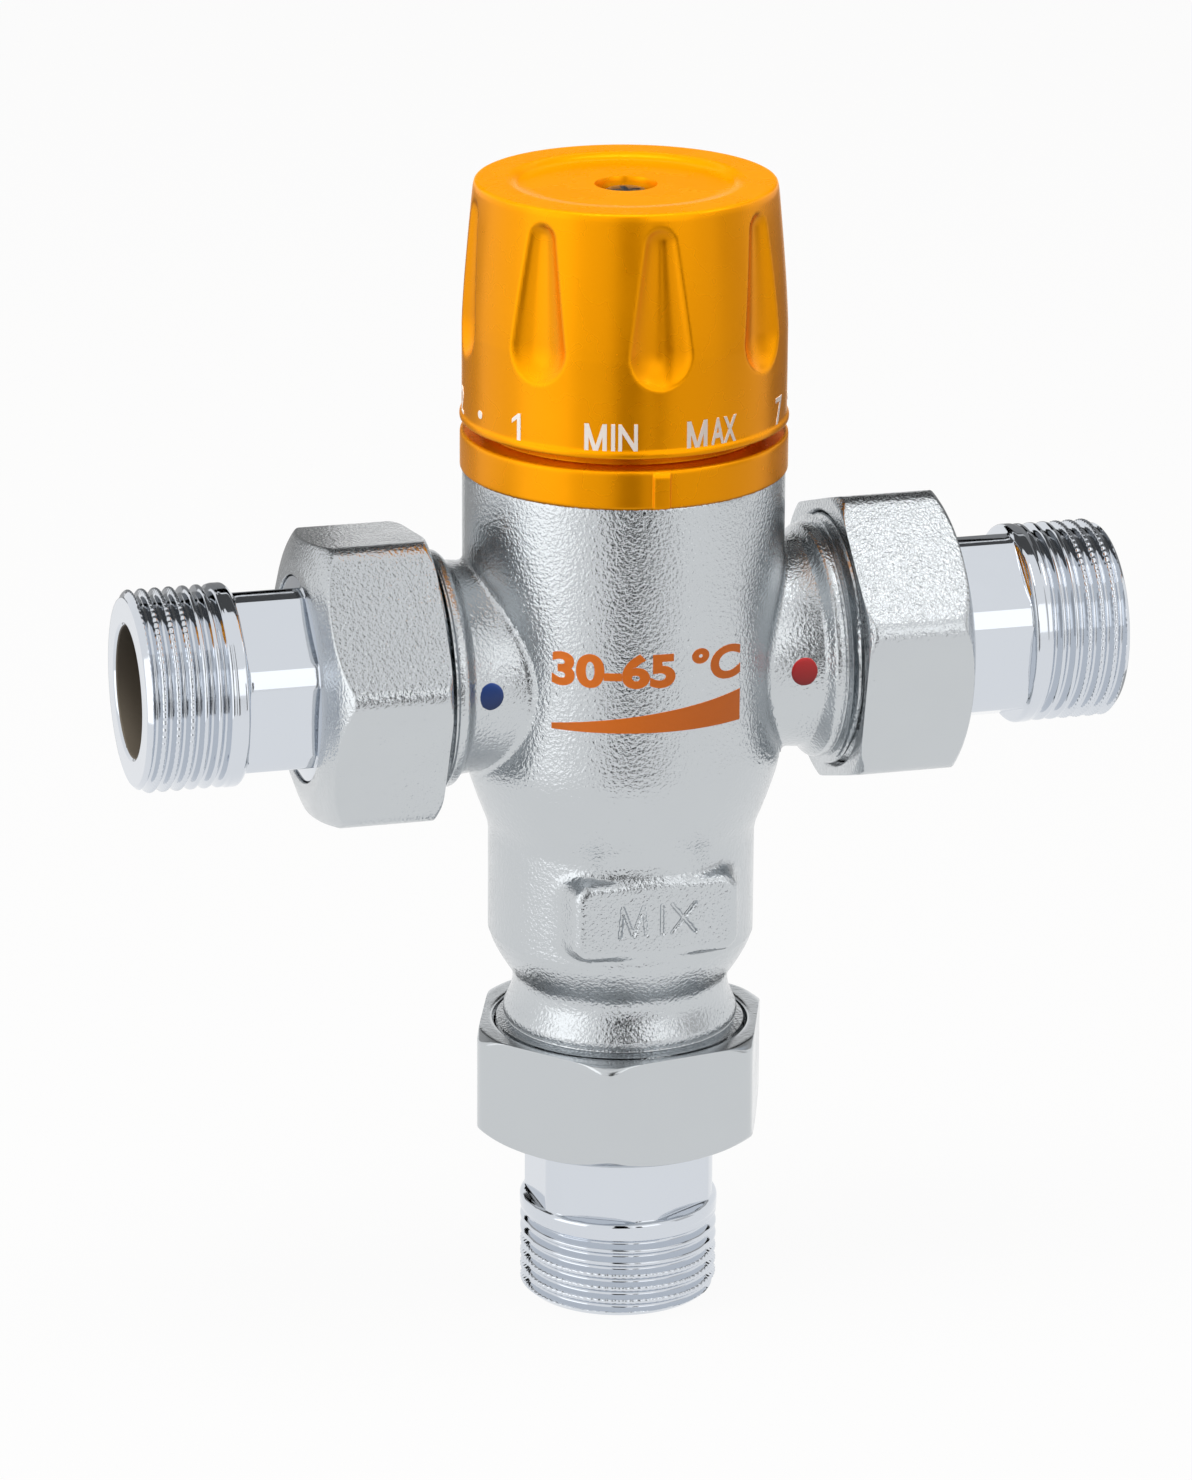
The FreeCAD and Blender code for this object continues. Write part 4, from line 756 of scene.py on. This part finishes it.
class VALVE_OT_index_ring(bpy.types.Operator):
    """Fixed ring under the knob with its raised pointer rib"""
    bl_idname = "valve.index_ring"
    bl_label = "Index ring"

    def execute(self, context):
        low, spigot_top = RING_LOW.z, RING_HIGH.z
        top = low + 5 * MM
        outer = RING_HIGH.x
        profile = resampled(rounded([
            (14.1 * MM, low), (outer, low, 0.25 * MM), (outer, top, 0.5 * MM), (18.2 * MM, top),
            (18.2 * MM, spigot_top), (14.1 * MM, spigot_top)], 0.2 * MM), 0.35 * MM)
        r, z = profile[:, :1], profile[:, 1:]
        rib_at, near = math.radians(-2.8), 0.09
        # columns stand closer together within near radians of the rib
        theta = rib_at + np.concatenate([np.linspace(-near, near, 61),
                                         np.linspace(near, TAU - near, 240)[1:-1]])[None, :]
        across = (theta - rib_at + math.pi) % TAU - math.pi
        rib = smooth_step(1.25 * MM - np.abs(across) * outer, 0, 0.3 * MM)
        # the rib fades out at the ring's lower and upper edges
        foot = smooth_step(z, low - 1 * MM, low + 0.2 * MM)
        head = 1 - smooth_step(z, top - 0.7 * MM, top - 0.2 * MM)
        radius = r + np.where(r > 20.5 * MM, 0.42 * MM * rib * foot * head, 0)
        ring = grid_object("pointer_ring", turned_points(radius, z, theta), material=MATERIALS["knob_plastic"],
                           sharp=45)
        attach(ring, "valve")
        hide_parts("index_ring")
        return {"FINISHED"}


# ---------------------------------------------------------------- marks, print and dots

def word_mesh(text, height, width=None, weight=0.0):
    """Flat letters as (x, y) points and faces, centred, with a given cap height.

    weight thickens the strokes, in shares of the font's size."""
    curve = bpy.data.curves.new(text, "FONT")
    curve.body, curve.size, curve.offset, curve.resolution_u = text, 1.0, weight, 6
    holder = new_object(text, curve)
    bpy.context.view_layer.update()
    flat = bpy.data.meshes.new_from_object(holder)
    bpy.data.objects.remove(holder)
    cut = bmesh.new()
    cut.from_mesh(flat)
    bpy.data.meshes.remove(flat)
    same, spacing = 1e-3, 0.15      # in shares of the font's size
    bmesh.ops.remove_doubles(cut, verts=cut.verts, dist=same)
    bmesh.ops.triangulate(cut, faces=cut.faces)
    # upright cuts keep every face narrow enough to bend round the cylinder
    across = [v.co.x for v in cut.verts]
    for x in np.arange(min(across), max(across), spacing)[1:]:
        bmesh.ops.bisect_plane(cut, geom=[*cut.verts, *cut.edges, *cut.faces], plane_co=(x, 0, 0),
                               plane_no=(1, 0, 0), dist=same)
    cut.verts.index_update()
    xy = np.array([v.co[:2] for v in cut.verts])
    faces = [tuple(v.index for v in f.verts) for f in cut.faces]
    cut.free()
    span = np.ptp(xy, axis=0)
    xy = (xy - xy.min(0) - span / 2) * height / span[1]
    if width:
        xy[:, 0] *= width / np.ptp(xy[:, 0])
    return xy, faces


def wrapped_letters(words, radius, thickness):
    """Letters laid round an upright cylinder. words holds (xy, faces, angle, height) entries.

    Each flat point (x, y) goes to angle + x / radius and height + y; a second copy just
    inside the surface and a strip round every outline make the letters closed solids."""
    points, faces = [], []
    for xy, flat, angle_at, z in words:
        base = sum(len(p) for p in points)
        n = len(xy)
        theta = angle_at + xy[:, 0] / radius
        points += [turned_points(r, z + xy[:, 1], theta) for r in (radius + thickness, radius - 2 * thickness)]
        faces += [tuple(base + i for i in f) for f in flat]
        faces += [tuple(base + n + i for i in reversed(f)) for f in flat]
        # an edge that only one face uses lies on an outline
        users = {}
        for f in flat:
            for i, j in zip(f, f[1:] + f[:1]):
                users.setdefault(frozenset((i, j)), []).append((i, j))
        rim = [edges[0] for edges in users.values() if len(edges) == 1]
        faces += [(base + j, base + i, base + n + i, base + n + j) for i, j in rim]
    return np.vstack(points), faces


def letters_object(name, words, radius, thickness, material):
    """Wrapped letters as one mesh object."""
    points, faces = wrapped_letters(words, radius, thickness)
    mesh = bpy.data.meshes.new(name)
    mesh.from_pydata(points.tolist(), [], faces)
    mesh.validate()
    mesh.update()
    return finish_mesh(name, mesh, material, 30)


def one_mesh(height):
    """The numeral one: an upright with a short flag to its left."""
    w, flag = 0.16 * height, 0.24 * height
    xy = np.array([(0, -0.5 * height), (w, -0.5 * height), (w, 0.5 * height), (0.25 * w, 0.5 * height),
                   (-flag, 0.27 * height), (-flag, 0.12 * height), (0, 0.30 * height)])
    return xy, [(0, 1, 2, 6), (2, 3, 6), (3, 4, 5, 6)]


def m_mesh(width, height, stroke=0.15):
    """The letter M as four slanted strokes between its top and bottom lines."""
    t, h = stroke * height, 0.5 * height
    w = 0.5 * width
    strokes = [(-w, -w), (-w, -0.5 * t), (w - t, -0.5 * t), (w - t, w - t)]
    xy, faces = [], []
    for top, foot in strokes:
        n = len(xy)
        xy += [(foot, -h), (foot + t, -h), (top + t, h), (top, h)]
        faces.append((n, n + 1, n + 2, n + 3))
    return np.array(xy), faces


def disc_mesh(radius, sides=28):
    """Flat disc as a fan of triangles."""
    a = full_turn(sides)[0]
    xy = np.vstack([np.zeros((1, 2)), radius * np.stack([np.cos(a), np.sin(a)], -1)])
    faces = [(0, 1 + i, 1 + (i + 1) % sides) for i in range(sides)]
    return xy, faces


def bar_mesh(width, low, high_left, high_right, steps=24):
    """Flat bar whose top edge rises evenly from left to right."""
    n = steps + 1
    x, top = np.linspace(-width / 2, width / 2, n), np.linspace(high_left, high_right, n)
    xy = np.vstack([np.stack([x, np.full_like(x, low)], -1), np.stack([x, top], -1)])
    return xy, [(i, i + 1, n + i + 1, n + i) for i in range(steps)]


class VALVE_OT_marks(bpy.types.Operator):
    """White dial marks round the knob's foot"""
    bl_idname = "valve.marks"
    bl_label = "Dial marks"

    def execute(self, context):
        s = context.scene.valve_knob_sizes
        z = KNOB_LOW.z + 2.75 * MM
        words = []
        # MIN and MAX: an M, a gap and the other two letters, centred on their angle
        m_width, gap = 2.9 * MM, 0.55 * MM
        for text, degrees, width in (("IN", -20.5, 3.4 * MM), ("AX", 16.5, 4.1 * MM)):
            at, half = math.radians(degrees), 0.5 * (m_width + gap + width)
            words.append((*m_mesh(m_width, s.mark_height), at - (half - m_width / 2) / s.side_r, z))
            words.append((*word_mesh(text, s.mark_height, width, 0.02), at + (half - width / 2) / s.side_r, z))
        # 1 to 7 run back from MIN round the knob, with a dot halfway between each two
        first, step, last = -56.2, -41.6, 6
        for k in range(last + 1):
            shape = word_mesh(str(k + 1), s.mark_height, None, 0.012) if k else one_mesh(s.mark_height)
            words.append((*shape, math.radians(first + step * k), z))
            if k < last:
                words.append((*disc_mesh(0.55 * MM), math.radians(first + step * (k + 0.5)), z))
        marks = letters_object("dial_marks", words, s.side_r, 0.05 * MM, MATERIALS["mark_paint"])
        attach(marks, "knob_and_spindle")
        return {"FINISHED"}


class VALVE_OT_print(bpy.types.Operator):
    """Generic temperature range printed on the front of the barrel"""
    bl_idname = "valve.print"
    bl_label = "Barrel print"

    def execute(self, context):
        s = context.scene.valve_body_sizes
        at = math.radians(-5.6)
        words = [(*word_mesh("30-65 °C", 4.8 * MM, 26.4 * MM, 0.042), at, PORT_Z + 4.2 * MM),
                 (*bar_mesh(26.4 * MM, -2.0 * MM, -1.2 * MM, 2.2 * MM), at, PORT_Z - 2.2 * MM)]
        scale = letters_object("range_print", words, s.barrel_r, 0.03 * MM, MATERIALS["print_paint"])
        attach(scale, "valve")
        return {"FINISHED"}


class VALVE_OT_dots(bpy.types.Operator):
    """Blue and red dots let into the side necks"""
    bl_idname = "valve.dots"
    bl_label = "Cold and hot dots"

    def execute(self, context):
        s = context.scene.valve_body_sizes
        # rows run from the rim inwards over a slightly crowned face, columns round the dot
        share = np.array([1.0, 1.0, 0.985, 0.95, 0.8, 0.6, 0.4, 0.2, 0.01])[:, None]
        rise = np.array([-0.6, 0.02, 0.10, 0.14, 0.17, 0.18, 0.19, 0.19, 0.19])[:, None] * MM
        a = full_turn(64)
        for node, slot in (("cold_dot", "dot_blue"), ("hot_dot", "dot_red")):
            low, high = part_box(node)
            radius = 0.5 * (high.x - low.x)
            x = middle(node).x + radius * share * np.cos(a)
            z = middle(node).z + radius * share * np.sin(a)
            y = -np.sqrt(s.side_neck_r ** 2 - (z - PORT_Z) ** 2) - rise
            dot = grid_object(node + "_enamel", np.stack([x, y, z], -1), material=MATERIALS[slot], sharp=60)
            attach(dot, "valve")
            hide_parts(node)
        return {"FINISHED"}


# ---------------------------------------------------------------- springs

# node: body that its fixed end sits on, joint that presses it, that joint's stroke, its axis (0 is X
# and 2 is Z), whether the fixed end is the high one, mean radius, wire radius, turns
SPRINGS = {
    "check_spring_cold": ("valve", "check_cold_lift", 3.0 * MM, 0, True, 3.0 * MM, 0.3 * MM, 4.0),
    "check_spring_hot": ("valve", "check_hot_lift", 3.0 * MM, 0, False, 3.0 * MM, 0.3 * MM, 4.0),
    "return_spring": ("valve", "element_stroke", 2.2 * MM, 2, False, 7.2 * MM, 0.6 * MM, 6.0),
    "overtravel_spring": ("adjuster", "overtravel", 1.2 * MM, 2, True, 5.6 * MM, 0.75 * MM, 2.6),
}


class VALVE_OT_springs(bpy.types.Operator):
    """Round-wire springs, each attached to the body that its fixed end sits on"""
    bl_idname = "valve.springs"
    bl_label = "Springs"

    def execute(self, context):
        slots = {part["node"]: part["material_slot"] for part in frame["record"]["subparts"]}
        for node, (body, joint, stroke, axis, high_fixed, mean_r, wire_r, turns) in SPRINGS.items():
            low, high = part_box(node)
            tall = high[axis] - low[axis]
            # the wire's centre climbs evenly with the angle, and each row is a circle about it
            share = np.linspace(0, 1, round(turns * 28) + 1)[:, None]
            around, turn = full_turn(12), TAU * turns * share
            radius = mean_r + wire_r * np.cos(around)
            along = low[axis] + wire_r + (tall - 2 * wire_r) * share + wire_r * np.sin(around)
            second, third = (axis + 1) % 3, (axis + 2) % 3
            points = np.empty((len(share), around.size, 3))
            points[..., axis] = along
            points[..., second] = middle(node)[second] + radius * np.cos(turn)
            points[..., third] = middle(node)[third] + radius * np.sin(turn)
            coil = grid_object(node + "_coil", points[::-1], close_rows=False,
                               material=MATERIALS[slots[node]], sharp=60)
            # close the wire's two ends
            ends = bmesh.new()
            ends.from_mesh(coil.data)
            bmesh.ops.holes_fill(ends, edges=ends.edges)
            ends.to_mesh(coil.data)
            ends.free()
            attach(coil, body)
            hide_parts(node)
            anchor = middle(node)
            anchor[axis] = high[axis] if high_fixed else low[axis]
            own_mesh(coil)
        return {"FINISHED"}


# ---------------------------------------------------------------- stage

def seen_level(tree, seen, unseen):
    """Strength that is seen to the camera, to mirrors and through glass, and unseen to diffuse light."""
    path = new_node(tree, "ShaderNodeLightPath")
    rays = new_node(tree, "ShaderNodeMath",
                    {0: path.outputs["Is Camera Ray"], 1: path.outputs["Is Glossy Ray"]}, operation="MAXIMUM")
    rays = new_node(tree, "ShaderNodeMath", {0: rays.outputs[0], 1: path.outputs["Is Transmission Ray"]},
                    operation="MAXIMUM")
    level = new_node(tree, "ShaderNodeMapRange", {"Value": rays.outputs[0]}, To_Min=unseen, To_Max=seen)
    return level.outputs["Result"]


def pale_floor():
    """White painted floor: plain and matt, bright enough to be the backdrop too."""
    material = bpy.data.materials.new("white_painted_floor")
    tree = empty_tree(material)
    glow = new_node(tree, "ShaderNodeEmission", {"Strength": seen_level(tree, 0.955, 0.2)}, Color=(1, 1, 1, 1))
    matt = new_node(tree, "ShaderNodeBsdfDiffuse", Color=(0.012, 0.012, 0.012, 1))
    both = new_node(tree, "ShaderNodeAddShader", {0: glow.outputs[0], 1: matt.outputs[0]})
    new_node(tree, "ShaderNodeOutputMaterial", {"Surface": both.outputs[0]})
    return material


def toward(bearing, rise, distance, height=None):
    """Point at a bearing clockwise from the camera's, seen from above, and at a rise above the ports."""
    yaw = math.radians(CAMERA_BEARING - bearing)
    flat = distance * math.cos(math.radians(rise))
    z = PORT_Z + distance * math.sin(math.radians(rise)) if height is None else height
    return Vector((-flat * math.sin(yaw), -flat * math.cos(yaw), z))


def card(name, centre, size, face, level):
    """Card that only mirrors see, square to the line from its centre to a point.

    level is what a mirror shows of it: near 0 is black felt and 1 is white board."""
    aim = (Vector(face) - centre).normalized()
    side = aim.cross(Vector((0, 0, 1))).normalized()
    up = side.cross(aim)
    side, up = side * size[0] / 2, up * size[1] / 2
    corners = [centre + i * side + j * up for i, j in ((-1, -1), (1, -1), (1, 1), (-1, 1))]
    mesh = bpy.data.meshes.new(name)
    mesh.from_pydata([tuple(corner) for corner in corners], [], [(0, 1, 2, 3)])
    material = bpy.data.materials.new(name + "_board")
    tree = empty_tree(material)
    glow = new_node(tree, "ShaderNodeEmission", Color=(1, 1, 1, 1), Strength=level)
    new_node(tree, "ShaderNodeOutputMaterial", {"Surface": glow.outputs[0]})
    mesh.materials.append(material)
    board = new_object(name, mesh)
    board.visible_camera = board.visible_shadow = board.visible_diffuse = board.visible_transmission = False


def soft_lamp(name, place, size, watts):
    """Soft lamp aimed at the ports, which mirrors don't see."""
    light = bpy.data.lights.new(name, "AREA")
    light.shape, light.size, light.size_y, light.energy = "RECTANGLE", size[0], size[1], watts
    lamp = new_object(name, light)
    aim = Vector((0, 0, PORT_Z)) - place
    lamp.matrix_world = Matrix.Translation(place) @ aim.to_track_quat("-Z", "Y").to_matrix().to_4x4()
    lamp.visible_glossy = False


class VALVE_OT_stage(bpy.types.Operator):
    """Pale floor, soft lamps, black flags and the camera"""
    bl_idname = "valve.stage"
    bl_label = "Stage"

    def execute(self, context):
        scene = context.scene
        corners = np.array([[[-6, -6, 0], [6, -6, 0]], [[-6, 6, 0], [6, 6, 0]]], float)
        floor = grid_object("floor", corners, False, False, pale_floor())
        world = bpy.data.worlds.new("pale_room")
        scene.world = world
        tree = empty_tree(world)
        # mirrors and the camera see plain white, matt surfaces get a warm fill
        white = new_node(tree, "ShaderNodeBackground", {"Strength": seen_level(tree, 0.97, 0.0)},
                         Color=(1, 1, 1, 1))
        fill = new_node(tree, "ShaderNodeBackground", {"Strength": seen_level(tree, 0.0, 0.22)},
                        Color=(1.0, 0.36, 0.1, 1))
        both = new_node(tree, "ShaderNodeAddShader", {0: white.outputs[0], 1: fill.outputs[0]})
        new_node(tree, "ShaderNodeOutputWorld", {"Surface": both.outputs[0]})
        soft_lamp("left_lamp", toward(-66, 30, 0.8), (0.5, 0.6), 3.9)
        soft_lamp("right_lamp", toward(66, 26, 0.8), (0.35, 0.5), 0.3)
        soft_lamp("top_lamp", toward(0, 84, 0.9), (0.6, 0.5), 20.0)
        ports, mid = Vector((0, 0, PORT_Z)), 0.058
        card("front_flag", toward(3.6, 0, 0.24, mid), (0.082, 0.08), (0, 0, mid), 0.0)
        card("nut_flag", toward(23.6, 0, 0.26, 0.10), (0.032, 0.14), (0, 0, 0.10), 0.0)
        card("camera_gap", toward(3.5, 0, 0.25, 0.32), (0.072, 0.44), (0, 0, 0.32), 0.0)
        for name, bearing in (("left_back_flag", -133), ("right_back_flag", 131)):
            card(name, toward(bearing, 0, 0.088, 0.078), (0.066, 0.04), (0, 0, 0.078), 0.42)
            card("upper_" + name, toward(bearing, 0, 0.088, 0.119), (0.066, 0.042), (0, 0, 0.119), 0.25)
        over = KNOB_HIGH.z + 0.15
        card("back_flag", toward(180, 0, 0.40, over), (0.60, 0.20), (0, 0, over), 0.0)
        card("ceiling_flag", toward(180, 57, 0.6), (1.5, 0.36), ports, 0.08)
        card("left_board", toward(-56, 0, 0.30, 0.13), (0.22, 0.25), (0, 0, 0.13), 1.65)
        card("right_board", toward(34, 19, 0.5), (0.28, 0.26), ports, 1.5)
        card("right_shade", toward(82, 0, 0.30, 0.16), (0.14, 0.20), (0, 0, 0.16), 0.6)
        card("nut_board", Vector((0.069, -0.045, PORT_Z + 0.12)), (0.018, 0.06), (0.069, -0.012, PORT_Z), 3.0)
        data = bpy.data.cameras.new("camera")
        data.sensor_width, data.lens, data.clip_end = 36.0, 166.41, 50
        camera = new_object("camera", data)
        right = Vector((0.96290511, -0.26976883, 0.00620756))
        up = Vector((0.07863986, 0.30255232, 0.94988308))
        back = Vector((-0.25812696, -0.91415911, 0.31254375))
        turn = Matrix((right, up, back)).transposed()
        place = Vector((-0.236547, -0.825258, 0.270436 + PORT_Z))
        camera.matrix_world = Matrix.Translation(place) @ turn.to_4x4()
        scene.camera = camera
        scene.view_settings.view_transform = "Standard"
        return {"FINISHED"}


# ---------------------------------------------------------------- add-on

STEPS = ("finishes", "body", "nuts", "tails", "knob", "index_ring", "marks", "print", "dots",
         "springs", "stage")


class VALVE_PT_panel(bpy.types.Panel):
    """Lists the settings and the build steps"""
    bl_idname = "VALVE_PT_panel"
    bl_label = "Tempering valve"
    bl_space_type = "VIEW_3D"
    bl_region_type = "UI"
    bl_category = "Valve"

    def draw(self, context):
        for name, group in SETTINGS.items():
            for setting in group.__annotations__:
                self.layout.prop(getattr(context.scene, name), setting)
        for step in STEPS:
            self.layout.operator("valve." + step)


CLASSES = (*SETTINGS.values(), VALVE_OT_finishes, VALVE_OT_body, VALVE_OT_nuts, VALVE_OT_tails, VALVE_OT_knob,
           VALVE_OT_index_ring, VALVE_OT_marks, VALVE_OT_print, VALVE_OT_dots, VALVE_OT_springs, VALVE_OT_stage,
           VALVE_PT_panel)


def register():
    """Register the classes and put the settings on the scene."""
    for cls in CLASSES:
        bpy.utils.register_class(cls)
    for name, group in SETTINGS.items():
        setattr(bpy.types.Scene, name, PointerProperty(type=group))


def unregister():
    """Undo register()."""
    for name in SETTINGS:
        delattr(bpy.types.Scene, name)
    for cls in reversed(CLASSES):
        bpy.utils.unregister_class(cls)


def main():
    """Build everything in order."""
    register()
    for step in STEPS:
        getattr(bpy.ops.valve, step)()


if __name__ == "__main__":
    main()
